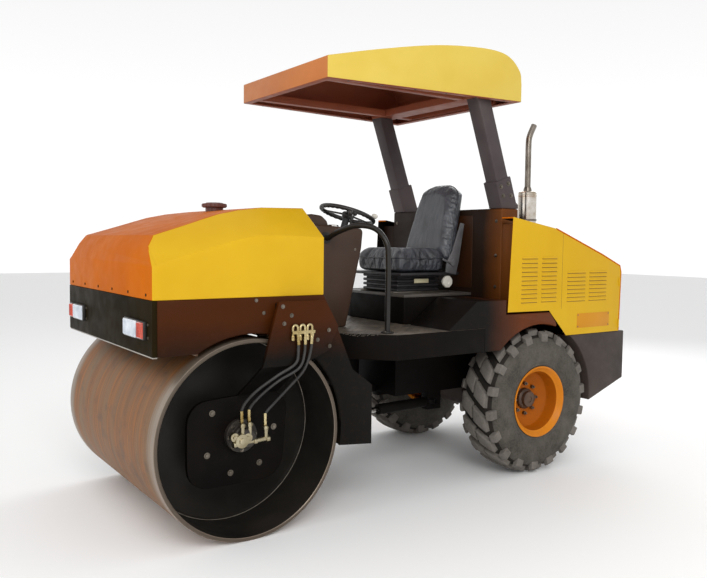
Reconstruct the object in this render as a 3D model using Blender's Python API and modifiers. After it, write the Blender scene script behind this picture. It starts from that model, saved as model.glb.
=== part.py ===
"""An articulated single-drum road roller, in metres: +X forward, +Y the machine's left, +Z up."""

from math import asin, cos, pi, radians, sin, sqrt

import bmesh
import bpy
from mathutils import Matrix, Vector

# Driving sizes of the whole machine
drum_radius = 0.500
drum_width = 1.423
drum_shell = 0.019
disc_depth = 0.317           # from the drum's rim in to its end disc
disc_thick = 0.020
wheelbase = 2.060
tyre_radius = 0.465
tyre_width = 0.310
tyre_track = 1.140           # between the middles of the two rear tyres
body_width = 1.400           # front hood, side plates, floor, fenders and engine hood
bumper_reach = 0.499         # drum axis to the bumper's front face
lamp_proud = 0.028
tail_reach = 0.857           # rear axle to the back of the counterweight
floor_top = 0.965
floor_depth = 0.145
floor_sheet = 0.008
floor_rim = 0.012
fit_gap = 0.0003             # between pieces that touch
run_gap = 0.0008             # round a journal that turns
swing_gap = 0.015            # between bodies that move past each other
arch_gap = 0.035             # between a rear tyre and what arches over it

# Datum lines, worked out from the driving sizes
overall_length = bumper_reach + lamp_proud + wheelbase + tail_reach
drum_x = overall_length / 2 - lamp_proud - bumper_reach
axle_x = drum_x - wheelbase
pivot_x = (drum_x + axle_x) / 2
half_body = body_width / 2
half_drum = drum_width / 2
drum_sides = 56
tyre_sides = 40
round_sides = 24

# Front frame
plate_thick = 0.015
deck_top = 1.203
hood_bottom = deck_top + fit_gap
deck_thick = 0.016
deck_front = drum_x + 0.440
deck_inset = 0.004
rear_wall_bottom = 1.045
rear_wall_thick = 0.012
beam_rear = drum_x - 0.730
beam_front = drum_x - 0.530
beam_bottom = 0.400
beam_top = 0.705
arch_radius = drum_radius + 0.030
scraper_gap = 0.008
scraper_thick = 0.012
scraper_front_angle = radians(58)
scraper_rear_angle = radians(107)
bumper_bottom = 0.945
bumper_sheet = 0.024
lip_depth = 0.100
frame_rear = drum_x - 0.412
hood_rear = drum_x - 0.414
cap_x = drum_x - 0.120
cap_neck = 0.050
cap_seat = 1.600
cap_top = 1.690
lamp_inner = 0.360
lamp_split = 0.545             # where the headlamp ends and the indicator begins
lamp_outer = 0.635
lamp_low = 1.016
lamp_high = 1.106

# Drum drive inside the dishes
dish_gap = 0.012
axle_radius = 0.060
hub_flange_radius = 0.130
hub_flange_thick = 0.030
hub_neck_radius = 0.085
stub_radius = 0.0542
support_bore = 0.055
support_inset = 0.1665       # from the drum's rim in to the support plate
support_inner = half_drum - support_inset
support_outer = support_inner + 0.025
leg_inner = half_drum + 0.010
leg_outer = leg_inner + 0.020
motor_radius = 0.085
motor_body = 0.050
motor_flange = 0.030
motor_length = 0.105
hose_radius = 0.009

# Pivot and steering
pivot_height = 0.640
roll_height = pivot_height - 0.075
pin_radius = 0.032
ear_thick = 0.040
ear_radius = 0.095
fork_low = 0.520
fork_high = floor_top - floor_depth - 0.020
hub_radius = 0.085
hub_gap = 0.006
journal_radius = 0.070
journal_length = 0.110
yoke_front = beam_rear - swing_gap
yoke_thick = 0.115
cylinder_height = 0.455
cylinder_radius = 0.032
rod_radius = 0.017
barrel_length = 0.440        # from the rear eye to the barrel's mouth
eye_radius = 0.028
eye_thick = 0.030
front_eye = (pivot_x + 0.200, 0.320)
rear_eye = (axle_x + 0.560, 0.280)

# Rear frame
chassis_half = 0.300
riser_half = 0.240
chassis_front = pivot_x - 0.170
chassis_rear = axle_x - 0.510
floor_front = axle_x + 1.460
floor_front_half = 0.400
floor_corner = axle_x + 1.160
floor_rear = axle_x + 0.490
bulkhead_front = axle_x + 0.230
bulkhead_rear = axle_x + 0.080
bulkhead_top = 1.700
fender_top = 1.038
console_half = 0.220
pedestal_top = 1.150
seat_plate = 1.285
seat_half = 0.232
post_spread = 0.500          # middle of each post from the centre plane
post_size = 0.105
post_lean = radians(19.7)

# Rear running gear
rim_radius = 0.227
hub_face = 0.420             # where the axle ends and the wheel's hub begins
axle_tube = 0.075
pumpkin_half = 0.130
pumpkin_radius = 0.140

# Engine hood
sheet = 0.004
hood_hinge = (axle_x - 0.815, 0.872)
hood_low = 0.877
engine_low = (axle_x - 0.490, -0.260, fork_high + fit_gap)
engine_high = (axle_x + 0.020, 0.260, 1.350)
muffler_place = (-0.280, 0.300)   # from the rear axle's middle
muffler_top = 1.840

# Steering wheel, tipped back towards the seat
steer_tilt = radians(18)
steer_centre = Vector((axle_x + 1.030, 0, 1.650))
steer_axis = Vector((-sin(steer_tilt), 0, cos(steer_tilt)))
column_length = 0.150
column_radius = 0.022
wheel_ring = 0.170

# Canopy
canopy_front = axle_x + 1.508
canopy_rear = axle_x + 0.150
canopy_front_half = 0.505
canopy_rear_half = 0.628
canopy_bottom = 2.360
canopy_sheet = 0.010
canopy_lip = 0.045
roof_seat = canopy_bottom + canopy_sheet


def clear_scene():
    for leftover in list(bpy.data.objects):
        bpy.data.objects.remove(leftover)


clear_scene()
roller = bpy.data.collections.new("road_roller")
shapers = bpy.data.collections.new("shapers")
bpy.context.scene.collection.children.link(roller)
bpy.context.scene.collection.children.link(shapers)


def paint(name, colour, roughness, metallic=0.0):
    made = bpy.data.materials.new(name)
    made.use_nodes = True
    shader = made.node_tree.nodes["Principled BSDF"]
    shader.inputs["Base Color"].default_value = (*colour, 1.0)
    shader.inputs["Roughness"].default_value = roughness
    shader.inputs["Metallic"].default_value = metallic
    return made


yellow = paint("yellow_enamel", (0.78, 0.48, 0.02), 0.35)
orange = paint("orange_enamel", (0.60, 0.15, 0.01), 0.40)
black = paint("black_enamel", (0.020, 0.018, 0.016), 0.45)
steel = paint("rolled_steel", (0.26, 0.14, 0.07), 0.50, 0.7)
rubber = paint("tyre_rubber", (0.045, 0.040, 0.035), 0.85)
vinyl = paint("seat_vinyl", (0.035, 0.035, 0.040), 0.55)
chrome = paint("chrome_plate", (0.80, 0.80, 0.80), 0.12, 1.0)
brass = paint("brass", (0.60, 0.45, 0.20), 0.30, 1.0)
glass = paint("lamp_lens", (0.80, 0.82, 0.85), 0.15)
amber = paint("amber_lens", (0.75, 0.10, 0.02), 0.25)
iron = paint("cast_iron", (0.060, 0.055, 0.050), 0.60, 0.3)


def place(thing, finish, collection=roller):
    """Puts an object in its collection and gives it its finish."""
    collection.objects.link(thing)
    thing.data.materials.append(finish)
    return thing


def from_bmesh(name, shape, finish, location=(0, 0, 0)):
    data = bpy.data.meshes.new(name)
    bmesh.ops.recalc_face_normals(shape, faces=shape.faces)
    shape.to_mesh(data)
    shape.free()
    made = place(bpy.data.objects.new(name, data), finish)
    made.location = location
    return made


def block(name, low, high, finish, bevel=0.0):
    """A box between two corners, with its edges rounded off if bevel is given."""
    size = [b - a for a, b in zip(low, high)]
    middle = [(a + b) / 2 for a, b in zip(low, high)]
    shape = bmesh.new()
    bmesh.ops.create_cube(shape, size=1.0, matrix=Matrix.Diagonal((*size, 1.0)))
    made = from_bmesh(name, shape, finish, middle)
    if bevel:
        rounding = made.modifiers.new("rounding", "BEVEL")
        rounding.width = bevel
        rounding.segments = 2
    return made


def rod(name, start, end, radius, finish, sides=round_sides):
    """A straight cylinder from start to end, with a flat of it lying lowest."""
    start, end = Vector(start), Vector(end)
    along = end - start
    shape = bmesh.new()
    bmesh.ops.create_cone(
        shape, cap_ends=True, segments=sides, radius1=radius, radius2=radius, depth=along.length
    )
    made = from_bmesh(name, shape, finish, (start + end) / 2)
    made.rotation_mode = "QUATERNION"
    made.rotation_quaternion = along.to_track_quat("Z", "X")
    made.data.shade_smooth()
    made.data.set_sharp_from_angle(angle=radians(35))
    return made


def turned(name, profile, centre, sides, finish):
    """A closed outline of (radius, y) turned round an axis that lies along Y.

    Its flats touch the stated radius, so a wheel stands on a flat and not on a corner."""
    grow = 1 / cos(pi / sides)
    shape = bmesh.new()
    ring = [shape.verts.new((radius * grow, 0, y)) for radius, y in profile]
    for a, b in zip(ring, ring[1:] + ring[:1]):
        shape.edges.new((a, b))
    data = bpy.data.meshes.new(name)
    shape.to_mesh(data)
    shape.free()
    made = place(bpy.data.objects.new(name, data), finish)
    made.location = centre
    made.rotation_euler = (-pi / 2, pi / sides, 0)
    sweep = made.modifiers.new("turning", "SCREW")
    sweep.steps = sides
    sweep.render_steps = sides
    sweep.use_merge_vertices = True
    sweep.merge_threshold = 0.0001
    area = sum(a[0] * b[1] - b[0] * a[1] for a, b in zip(profile, profile[1:] + profile[:1]))
    sweep.use_normal_flip = area > 0
    return made


def mesh_from_curve(made, finish):
    """Swaps a curve object for the mesh it draws, with its caps welded on."""
    graph = bpy.context.evaluated_depsgraph_get()
    data = bpy.data.meshes.new_from_object(made.evaluated_get(graph))
    shape = bmesh.new()
    shape.from_mesh(data)
    bmesh.ops.remove_doubles(shape, verts=shape.verts, dist=0.00005)
    shape.to_mesh(data)
    shape.free()
    name = made.name
    matrix = made.matrix_world.copy()
    bpy.data.objects.remove(made)
    data.materials.clear()
    solid = place(bpy.data.objects.new(name, data), finish)
    solid.matrix_world = matrix
    return solid


def plate(name, outline, low, high, finish, flat="XZ"):
    """A flat outline given thickness: in the XZ plane from y low to high, or in XY from z low to high."""
    curve = bpy.data.curves.new(name, "CURVE")
    curve.dimensions = "2D"
    curve.fill_mode = "BOTH"
    curve.extrude = (high - low) / 2
    spline = curve.splines.new("POLY")
    spline.points.add(len(outline) - 1)
    for point, (a, b) in zip(spline.points, outline):
        point.co = (a, b, 0, 1)
    spline.use_cyclic_u = True
    made = bpy.data.objects.new(name, curve)
    roller.objects.link(made)
    middle = (low + high) / 2
    if flat == "XZ":
        made.matrix_world = Matrix.Translation((0, middle, 0)) @ Matrix.Rotation(pi / 2, 4, "X")
    else:
        made.matrix_world = Matrix.Translation((0, 0, middle))
    bpy.context.view_layer.update()
    return mesh_from_curve(made, finish)


def tube(name, points, radius, finish, sides=4):
    """A round tube along points; sides is the curve's bevel resolution."""
    curve = bpy.data.curves.new(name, "CURVE")
    curve.dimensions = "3D"
    curve.bevel_depth = radius
    curve.bevel_resolution = sides
    curve.use_fill_caps = True
    spline = curve.splines.new("POLY")
    spline.points.add(len(points) - 1)
    for point, place_at in zip(spline.points, points):
        point.co = (*place_at, 1)
    made = bpy.data.objects.new(name, curve)
    roller.objects.link(made)
    bpy.context.view_layer.update()
    return mesh_from_curve(made, finish)


def smooth_route(knots, steps):
    """Points along a smooth curve through the knots."""
    knots = [Vector(k) for k in knots]
    ends = [2 * knots[0] - knots[1]] + knots + [2 * knots[-1] - knots[-2]]
    route = []
    for a, b, c, d in zip(ends, ends[1:], ends[2:], ends[3:]):
        for i in range(steps):
            t = i / steps
            route.append(
                0.5 * (2 * b + (c - a) * t + (2 * a - 5 * b + 4 * c - d) * t**2
                       + (3 * b - a - 3 * c + d) * t**3)
            )
    return route + [knots[-1]]


def arc(centre, radius, start, end, steps):
    """Points on an arc from angle start to end, in radians."""
    angles = [start + (end - start) * i / steps for i in range(steps + 1)]
    return [(centre[0] + radius * cos(a), centre[1] + radius * sin(a)) for a in angles]


def shape_with(target, other, operation):
    """Joins another solid into target, or cuts it away, and keeps it as a hidden shaper."""
    roller.objects.unlink(other)
    shapers.objects.link(other)
    other.hide_render = True
    other.display_type = "WIRE"
    change = target.modifiers.new(other.name, "BOOLEAN")
    change.operation = operation
    change.object = other
    return target


def join(target, *others):
    for other in others:
        shape_with(target, other, "UNION")
    return target


def cut(target, *others):
    for other in others:
        shape_with(target, other, "DIFFERENCE")
    return target


def loft(name, sections, finish):
    """A closed solid through sections of equally many (x, y, z) points, capped at both ends."""
    shape = bmesh.new()
    rings = [[shape.verts.new(p) for p in section] for section in sections]
    for near, far in zip(rings, rings[1:]):
        for i in range(len(near)):
            j = (i + 1) % len(near)
            shape.faces.new((near[i], near[j], far[j], far[i]))
    shape.faces.new(rings[0])
    shape.faces.new(rings[-1])
    return from_bmesh(name, shape, finish)


def axis_empty(name, location):
    """The empty that a moving body's pieces hang on, standing on its joint's axis."""
    made = bpy.data.objects.new(name, None)
    made.location = location
    made.empty_display_size = 0.1
    roller.objects.link(made)
    return made


def hang(empty, *pieces):
    for piece in pieces:
        piece.parent = empty
        piece.matrix_parent_inverse = Matrix.Translation(-empty.location)


sides_y = (("left", 1), ("right", -1))


def span(side, inner, outer):
    """The low and high y of something that reaches from inner to outer on one side."""
    return min(side * inner, side * outer), max(side * inner, side * outer)


# ---------------------------------------------------------------- front frame


def side_plate_outline():
    """The front frame's side plate, arched over the drum and reaching down behind it."""
    drum = (drum_x, drum_radius)
    front_angle = asin((bumper_bottom - drum_radius) / arch_radius)
    rear_angle = pi + asin(0.1 / arch_radius)
    over_drum = arc(drum, arch_radius, front_angle, rear_angle, 22)
    front = drum_x + bumper_reach - bumper_sheet - fit_gap
    return [
        (front, deck_top),
        (front, bumper_bottom),
        *over_drum,
        (over_drum[-1][0], beam_bottom),
        (beam_rear, beam_bottom - 0.02),
        (beam_rear, beam_top),
        (drum_x - 0.600, 0.800),
        (drum_x - 0.470, 1.100),
        (frame_rear, deck_top),
    ]


def make_front_frame():
    outline = side_plate_outline()
    frame = block(
        "front_frame",
        (beam_rear, -half_body + deck_inset, beam_bottom),
        (beam_front, half_body - deck_inset, beam_top),
        black,
    )
    deck = block(
        "frame_deck",
        (frame_rear + 0.010, -half_body + deck_inset, deck_top - deck_thick),
        (deck_front, half_body - deck_inset, deck_top - 0.002),
        black,
    )
    rear_wall = block(
        "frame_rear_wall",
        (frame_rear + rear_wall_thick, -half_body + deck_inset, rear_wall_bottom),
        (frame_rear + 2 * rear_wall_thick, half_body - deck_inset, deck_top - 0.003),
        black,
    )
    cheeks = [
        plate(f"frame_cheek_{name}", outline, *span(side, half_body - plate_thick, half_body), black)
        for name, side in sides_y
    ]
    join(frame, cheeks[0], cheeks[1], deck, rear_wall)
    bore = rod(
        "journal_bore",
        (beam_rear - 0.05, 0, roll_height),
        (beam_rear + journal_length + 0.010, 0, roll_height),
        journal_radius + run_gap,
        black,
    )
    return cut(frame, bore)


def make_bumper():
    front = drum_x + bumper_reach
    half = half_body + 0.002
    low = (front - bumper_sheet, -half, bumper_bottom)
    bumper = block("front_bumper", low, (front, half, deck_top), black)
    lip_half = half - plate_thick - 0.004
    lip_bottom = bumper_bottom + 0.0005
    lip = block(
        "bumper_lip",
        (front - lip_depth, -lip_half, lip_bottom),
        (front - 0.010, lip_half, lip_bottom + scraper_thick),
        black,
    )
    return join(bumper, lip)


def make_front_hood():
    """The tank cover: upright sides, a nose chamfer and a bevel that widens to the rear."""
    stations = (
        # ahead of drum, lower bevel z, upper half width, upper z
        (bumper_reach - 0.001, 1.357, 0.655, 1.374),
        (0.474, 1.364, 0.580, 1.450),
        (0.440, 1.374, 0.555, 1.500),
        (0.335, 1.406, 0.540, 1.532),
        (0.201, 1.446, 0.525, 1.574),
        (0.094, 1.476, 0.512, 1.608),
        (-0.022, 1.503, 0.502, 1.632),
        (-0.160, 1.505, 0.496, 1.650),
        (hood_rear - drum_x, 1.500, 0.485, 1.655),
    )
    sections = []
    for ahead, low, half_top, high in stations:
        x = drum_x + ahead
        left = [(x, half_body, hood_bottom), (x, half_body, low), (x, half_top, high)]
        right = [(x, -y, z) for _, y, z in reversed(left)]
        sections.append(left + right)
    hood = loft("front_hood", sections, yellow)
    filler = rod(
        "filler_hole", (cap_x, 0, cap_seat - fit_gap), (cap_x, 0, cap_top + 0.1), cap_neck + fit_gap, yellow
    )
    return cut(hood, filler)


def make_lamps():
    front = drum_x + bumper_reach
    for name, side in sides_y:
        lamp = block(
            f"headlamp_{name}",
            (front + fit_gap, span(side, lamp_inner, lamp_split)[0], lamp_low),
            (front + lamp_proud, span(side, lamp_inner, lamp_split)[1], lamp_high),
            glass,
            0.006,
        )
        turn_lamp = block(
            f"indicator_{name}",
            (front + fit_gap, span(side, lamp_split + fit_gap, lamp_outer)[0], lamp_low + 0.002),
            (front + lamp_proud - 0.002, span(side, lamp_split + fit_gap, lamp_outer)[1], lamp_high - 0.002),
            amber,
            0.006,
        )
        hang(front_axis, lamp, turn_lamp)


def make_tank_cap():
    lid_height = 0.026
    neck = rod("tank_cap", (cap_x, 0, cap_seat), (cap_x, 0, cap_top - lid_height / 2), cap_neck, black)
    lid = rod("tank_lid", (cap_x, 0, cap_top - lid_height), (cap_x, 0, cap_top), cap_neck + 0.018, black)
    return join(neck, lid)


# ---------------------------------------------------------------- drum and its supports


def make_drum():
    disc_outer = half_drum - disc_depth
    disc_inner = disc_outer - disc_thick
    inside = drum_radius - drum_shell
    half = [
        (axle_radius + fit_gap, disc_inner),
        (axle_radius + fit_gap, disc_outer),
        (inside, disc_outer),
        (inside, half_drum),
        (drum_radius, half_drum),
    ]
    profile = half + [(r, -y) for r, y in reversed(half)] + [(inside, -disc_inner), (inside, disc_inner)]
    return turned("drum", profile, (drum_x, 0, drum_radius), drum_sides, steel)


def make_drum_hubs():
    """The hub bolted to each end disc, whose stub runs in the support plate's bearing."""
    flange = half_drum - disc_depth + fit_gap
    hubs = []
    for name, side in sides_y:
        hub = rod(
            f"drum_hub_{name}",
            (drum_x, side * flange, drum_radius),
            (drum_x, side * (flange + hub_flange_thick), drum_radius),
            hub_flange_radius,
            iron,
        )
        neck = rod(
            f"drum_hub_neck_{name}",
            (drum_x, side * (flange + 0.025), drum_radius),
            (drum_x, side * (support_inner - dish_gap), drum_radius),
            hub_neck_radius,
            iron,
        )
        stub = rod(
            f"drum_hub_stub_{name}",
            (drum_x, side * (support_inner - dish_gap - 0.01), drum_radius),
            (drum_x, side * (support_outer - 0.003), drum_radius),
            stub_radius,
            iron,
        )
        spigot = rod(
            f"drum_hub_spigot_{name}",
            (drum_x, side * (flange + 0.010), drum_radius),
            (drum_x, side * (flange - 0.060), drum_radius),
            axle_radius,
            iron,
        )
        hubs.append(join(hub, neck, stub, spigot))
    return hubs


def make_drum_supports():
    """A rounded plate inside each dish, on a leg that reaches out past the rim and up to the frame."""
    supports = []
    centre = (drum_x, drum_radius)
    for name, side in sides_y:
        dish_plate = (
            arc((drum_x + 0.170, 0.360), 0.110, -pi / 2, 0, 5)
            + arc((drum_x + 0.170, 0.580), 0.110, 0, pi / 2, 5)
            + arc((drum_x - 0.160, 0.600), 0.110, pi / 2, pi, 5)
            + arc((drum_x - 0.130, 0.370), 0.120, pi, 3 * pi / 2, 5)
        )
        faces = span(side, support_inner, support_outer)
        support = plate(f"drum_support_{name}", dish_plate, *faces, black)
        leg_sections = (
            # rear and front x from the drum, inner and outer y, height
            (-0.400, -0.130, leg_inner, leg_outer, 1.180),
            (-0.480, -0.090, leg_inner, leg_outer, 1.040),
            (-0.420, -0.060, leg_inner, leg_outer, 0.920),
            (-0.270, -0.040, leg_inner, leg_outer, 0.860),
            (-0.210, 0.010, support_inner + 0.006, support_outer + 0.004, 0.700),
            (-0.200, 0.010, support_inner + 0.002, support_outer - 0.002, 0.640),
        )
        leg = loft(
            f"support_leg_{name}",
            [
                [
                    (drum_x + rear, side * inner, z),
                    (drum_x + front, side * inner, z),
                    (drum_x + front, side * outer, z),
                    (drum_x + rear, side * outer, z),
                ]
                for rear, front, inner, outer, z in leg_sections
            ],
            black,
        )
        pad_low, pad_high = span(side, half_body + fit_gap, leg_inner + 0.004)
        pad = block(
            f"support_pad_{name}",
            (drum_x - 0.395, pad_low, 1.060),
            (drum_x - 0.130, pad_high, 1.170),
            black,
        )
        join(support, leg, pad)
        bore = rod(
            f"support_bore_{name}",
            (centre[0], side * (support_inner - 0.05), centre[1]),
            (centre[0], side * (support_outer + 0.05), centre[1]),
            support_bore,
            black,
        )
        cut(support, bore)
        supports.append(support)
    return supports


def make_drum_motors():
    motors = []
    for name, side in sides_y:
        face = support_outer + fit_gap
        motor = rod(
            f"drum_motor_{name}",
            (drum_x, side * face, drum_radius),
            (drum_x, side * (face + motor_flange), drum_radius),
            motor_radius,
            iron,
        )
        body = rod(
            f"drum_motor_body_{name}",
            (drum_x, side * (face + 0.025), drum_radius),
            (drum_x, side * (face + motor_length), drum_radius),
            motor_body,
            iron,
        )
        motors.append(join(motor, body))
    return motors


def make_hoses():
    """The drive hoses, from a manifold high on each leg down to the motor's ports."""
    made = []
    port_y = support_outer + 0.082
    ports_low = drum_radius + motor_body + fit_gap
    for name, side in sides_y:
        outboard = leg_outer + fit_gap
        manifold = block(
            f"drum_hoses_{name}",
            (drum_x - 0.330, span(side, outboard, outboard + 0.024)[0], 1.000),
            (drum_x - 0.210, span(side, outboard, outboard + 0.024)[1], 1.030),
            brass,
        )
        ports = block(
            f"hose_ports_{name}",
            (drum_x - 0.075, span(side, port_y - 0.014, port_y + 0.014)[0], ports_low),
            (drum_x + 0.060, span(side, port_y - 0.014, port_y + 0.014)[1], ports_low + 0.024),
            brass,
        )
        join(manifold, ports)
        for i, (top, port) in enumerate(((-0.228, 0.045), (-0.270, -0.010), (-0.312, -0.060))):
            route = smooth_route(
                (
                    (drum_x + top, side * (outboard + 0.012), 1.004),
                    (drum_x + top - 0.004, side * (outboard + 0.012), 0.930),
                    (drum_x + top * 0.75 + port * 0.25, side * (outboard + 0.008), 0.840),
                    (drum_x + top * 0.35 + port * 0.65, side * (port_y + 0.050), 0.700),
                    (drum_x + port, side * (port_y + 0.004), 0.620),
                    (drum_x + port, side * port_y, ports_low + 0.020),
                ),
                4,
            )
            join(manifold, tube(f"hose_{name}_{i}", route, hose_radius, black, 1))
        made.append(manifold)
    return made


def make_scrapers():
    """A blade bar across the drum at the front and at the top rear, hung from the frame's deck."""
    made = []
    for name, angle in (("front", scraper_front_angle), ("rear", scraper_rear_angle)):
        foot_x = drum_x + (drum_radius + scraper_gap) * cos(angle)
        foot_z = drum_radius + (drum_radius + scraper_gap) * sin(angle)
        half = half_body - plate_thick - 0.020
        low = (foot_x - scraper_thick / 2, -half, foot_z)
        high = (foot_x + scraper_thick / 2, half, deck_top - deck_thick - fit_gap)
        made.append(block(f"scraper_{name}", low, high, steel))
    return made


# ---------------------------------------------------------------- pivot and steering


def make_yoke():
    """The block between the frames: it steers on an upright pin, and its journal lets the front roll."""
    low = fork_low + ear_thick + hub_gap
    high = fork_high - ear_thick - hub_gap
    yoke = rod("steering_yoke", (pivot_x, 0, low), (pivot_x, 0, high), hub_radius, iron)
    web = block(
        "yoke_web",
        (pivot_x + 0.020, -0.060, low + 0.010),
        (yoke_front - 0.010, 0.060, high - 0.010),
        iron,
    )
    rear = yoke_front - yoke_thick
    reach = front_eye[1] + 0.045
    arm_low = (rear, -reach, cylinder_height - 0.055)
    arm = block("yoke_arm", arm_low, (yoke_front, reach, low + 0.060), iron)
    journal = rod(
        "yoke_journal",
        (yoke_front - 0.010, 0, roll_height),
        (beam_rear + journal_length, 0, roll_height),
        journal_radius,
        iron,
    )
    join(yoke, web, arm, journal)
    pin_hole = rod(
        "yoke_pin_hole", (pivot_x, 0, low - 0.1), (pivot_x, 0, high + 0.1), pin_radius + run_gap, iron
    )
    slot = block(
        "yoke_slot",
        (rear - 0.01, -reach - 0.1, cylinder_height - eye_thick / 2 - 0.008),
        (yoke_front - 0.022, reach + 0.1, cylinder_height + eye_thick / 2 + 0.008),
        iron,
    )
    cut(yoke, pin_hole, slot)
    return yoke


def make_pivot_pin():
    head_low, head_high = (pivot_x, 0, fork_high + fit_gap), (pivot_x, 0, fork_high + 0.012)
    shank_low, shank_high = (pivot_x, 0, fork_low + 0.001), (pivot_x, 0, fork_high + 0.002)
    head = rod("pivot_pin", head_low, head_high, pin_radius + 0.016, iron)
    return join(head, rod("pivot_shank", shank_low, shank_high, pin_radius, iron))


def make_cylinder(name, side):
    """A steering cylinder at rest: the barrel turns on the rear frame and the rod slides out of it."""
    rear = Vector((rear_eye[0], side * rear_eye[1], cylinder_height))
    front = Vector((front_eye[0], side * front_eye[1], cylinder_height))
    along = (front - rear).normalized()
    up = Vector((0, 0, eye_thick / 2))
    barrel_end = rear + along * barrel_length
    bore_start = rear + along * 0.080
    bore_end = barrel_end + along * 0.05
    barrel = rod(f"cylinder_barrel_{name}", rear - up, rear + up, eye_radius + 0.004, black, 20)
    body = rod(f"barrel_body_{name}", rear + along * 0.050, barrel_end, cylinder_radius, black, 20)
    neck = rod(f"barrel_neck_{name}", rear + along * 0.010, rear + along * 0.055, 0.014, black, 12)
    bore = rod(f"barrel_bore_{name}", bore_start, bore_end, rod_radius + run_gap, black, 20)
    cut(join(barrel, body, neck), bore)
    eye = rod(f"cylinder_rod_{name}", front - up, front + up, eye_radius, chrome, 20)
    rod_start = rear + along * 0.250
    shank = rod(f"rod_shank_{name}", rod_start, front - along * 0.012, rod_radius, chrome, 20)
    return barrel, join(eye, shank)


# ---------------------------------------------------------------- rear frame


def make_chassis():
    chassis = block(
        "rear_chassis",
        (chassis_rear, -chassis_half, fork_low),
        (chassis_front, chassis_half, fork_high),
        black,
    )
    ears = []
    for name, low in (("lower", fork_low), ("upper", fork_high - ear_thick)):
        root = chassis_front - 0.020
        nose = arc((pivot_x, 0), ear_radius, -pi / 2, pi / 2, 12)
        outline = [(root, ear_radius), (root, -ear_radius)] + nose
        ears.append(plate(f"fork_ear_{name}", outline, low, low + ear_thick, black, "XY"))
    join(chassis, *ears)
    half_slot = eye_thick / 2 + fit_gap
    for name, side in sides_y:
        near, far = span(side, rear_eye[1] - 0.040, chassis_half - 0.0005)
        bracket = block(
            f"cylinder_bracket_{name}",
            (rear_eye[0] - 0.075, near, cylinder_height - 0.050),
            (rear_eye[0] + 0.035, far, fork_low + 0.020),
            black,
        )
        near, far = span(side, chassis_half / 2, chassis_half + 0.1)
        slot = block(
            f"bracket_slot_{name}",
            (rear_eye[0] - 0.045, near, cylinder_height - half_slot),
            (rear_eye[0] + 0.100, far, cylinder_height + half_slot),
            black,
        )
        join(chassis, bracket)
        cut(chassis, slot)
    bore = rod("fork_bore", (pivot_x, 0, 0.3), (pivot_x, 0, 1.0), pin_radius + fit_gap, black)
    axle_notch = rod(
        "axle_notch",
        (axle_x, -0.4, tyre_radius),
        (axle_x, 0.4, tyre_radius),
        axle_tube + fit_gap,
        black,
    )
    wide = pumpkin_half + 0.001
    pumpkin_notch = rod(
        "pumpkin_notch",
        (axle_x, -wide, tyre_radius),
        (axle_x, wide, tyre_radius),
        pumpkin_radius + 0.001,
        black,
    )
    return cut(chassis, bore, axle_notch, pumpkin_notch)


def make_rear_axle():
    made = []
    for name, half, radius in (
        ("rear_axle", hub_face, axle_tube),
        ("axle_pumpkin", pumpkin_half, pumpkin_radius),
    ):
        made.append(rod(name, (axle_x, -half, tyre_radius), (axle_x, half, tyre_radius), radius, iron))
    return join(*made)


def make_floor():
    outline = [
        (floor_front, floor_front_half),
        (floor_corner, half_body),
        (floor_rear, half_body),
        (floor_rear, -half_body),
        (floor_corner, -half_body),
        (floor_front, -floor_front_half),
    ]
    floor = plate("floor", outline, floor_top - floor_depth, floor_top, black, "XY")
    rim = floor_rim
    inner = [
        (floor_front - rim, floor_front_half - rim / 2),
        (floor_corner - rim / 2, half_body - rim),
        (floor_rear + rim, half_body - rim),
        (floor_rear + rim, -half_body + rim),
        (floor_corner - rim / 2, -half_body + rim),
        (floor_front - rim, -floor_front_half + rim / 2),
    ]
    low, high = floor_top - floor_depth - 0.05, floor_top - floor_sheet
    hollow = plate("floor_hollow", inner, low, high, black, "XY")
    return cut(floor, hollow)


def make_underframe():
    """The riser that carries the floor on the chassis."""
    return block(
        "floor_riser",
        (axle_x + 0.560, -riser_half, fork_high + fit_gap),
        (chassis_front - 0.020, riser_half, floor_top - floor_sheet - fit_gap),
        black,
    )


def make_fenders():
    """The black fender over each rear tyre: arched below, its top stepped under the engine hood."""
    wheel = (axle_x, tyre_radius)
    radius = tyre_radius + arch_gap
    low_z = floor_top - floor_depth
    start = asin((low_z - tyre_radius) / radius)
    end = pi - asin(sqrt(1 - (0.150 / radius) ** 2))
    made = []
    for name, side in sides_y:
        outline = arc(wheel, radius, start, end, 10) + [
            (axle_x - 0.150, 0.966),
            (axle_x - 0.085, fender_top),
            (axle_x + 0.312, fender_top),
            (axle_x + 0.312, 1.130),
            (axle_x + 0.560, 1.130),
            (axle_x + 0.780, floor_top + fit_gap),
            (floor_rear - fit_gap, floor_top + fit_gap),
            (floor_rear - fit_gap, low_z),
        ]
        made.append(plate(f"fender_{name}", outline, *span(side, 0.335, half_body), black))
    return made


def make_counterweight():
    """The cast tail block, arched round the tyres and notched in the middle for the chassis."""
    wheel = (axle_x, tyre_radius)
    radius = tyre_radius + arch_gap
    top = hood_low - fit_gap
    bottom = 0.420
    start = pi - asin((top - tyre_radius) / radius)
    end = pi + asin((tyre_radius - bottom) / radius)
    outline = arc(wheel, radius, start, end, 8) + [
        (axle_x - tail_reach, 0.545),
        (axle_x - tail_reach, top),
    ]
    casting = plate("counterweight", outline, -half_body, half_body, black)
    notch = block(
        "chassis_notch",
        (chassis_rear - fit_gap, -chassis_half - 0.020, 0.300),
        (axle_x, chassis_half + 0.020, 1.000),
        black,
    )
    return cut(casting, notch)


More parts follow.
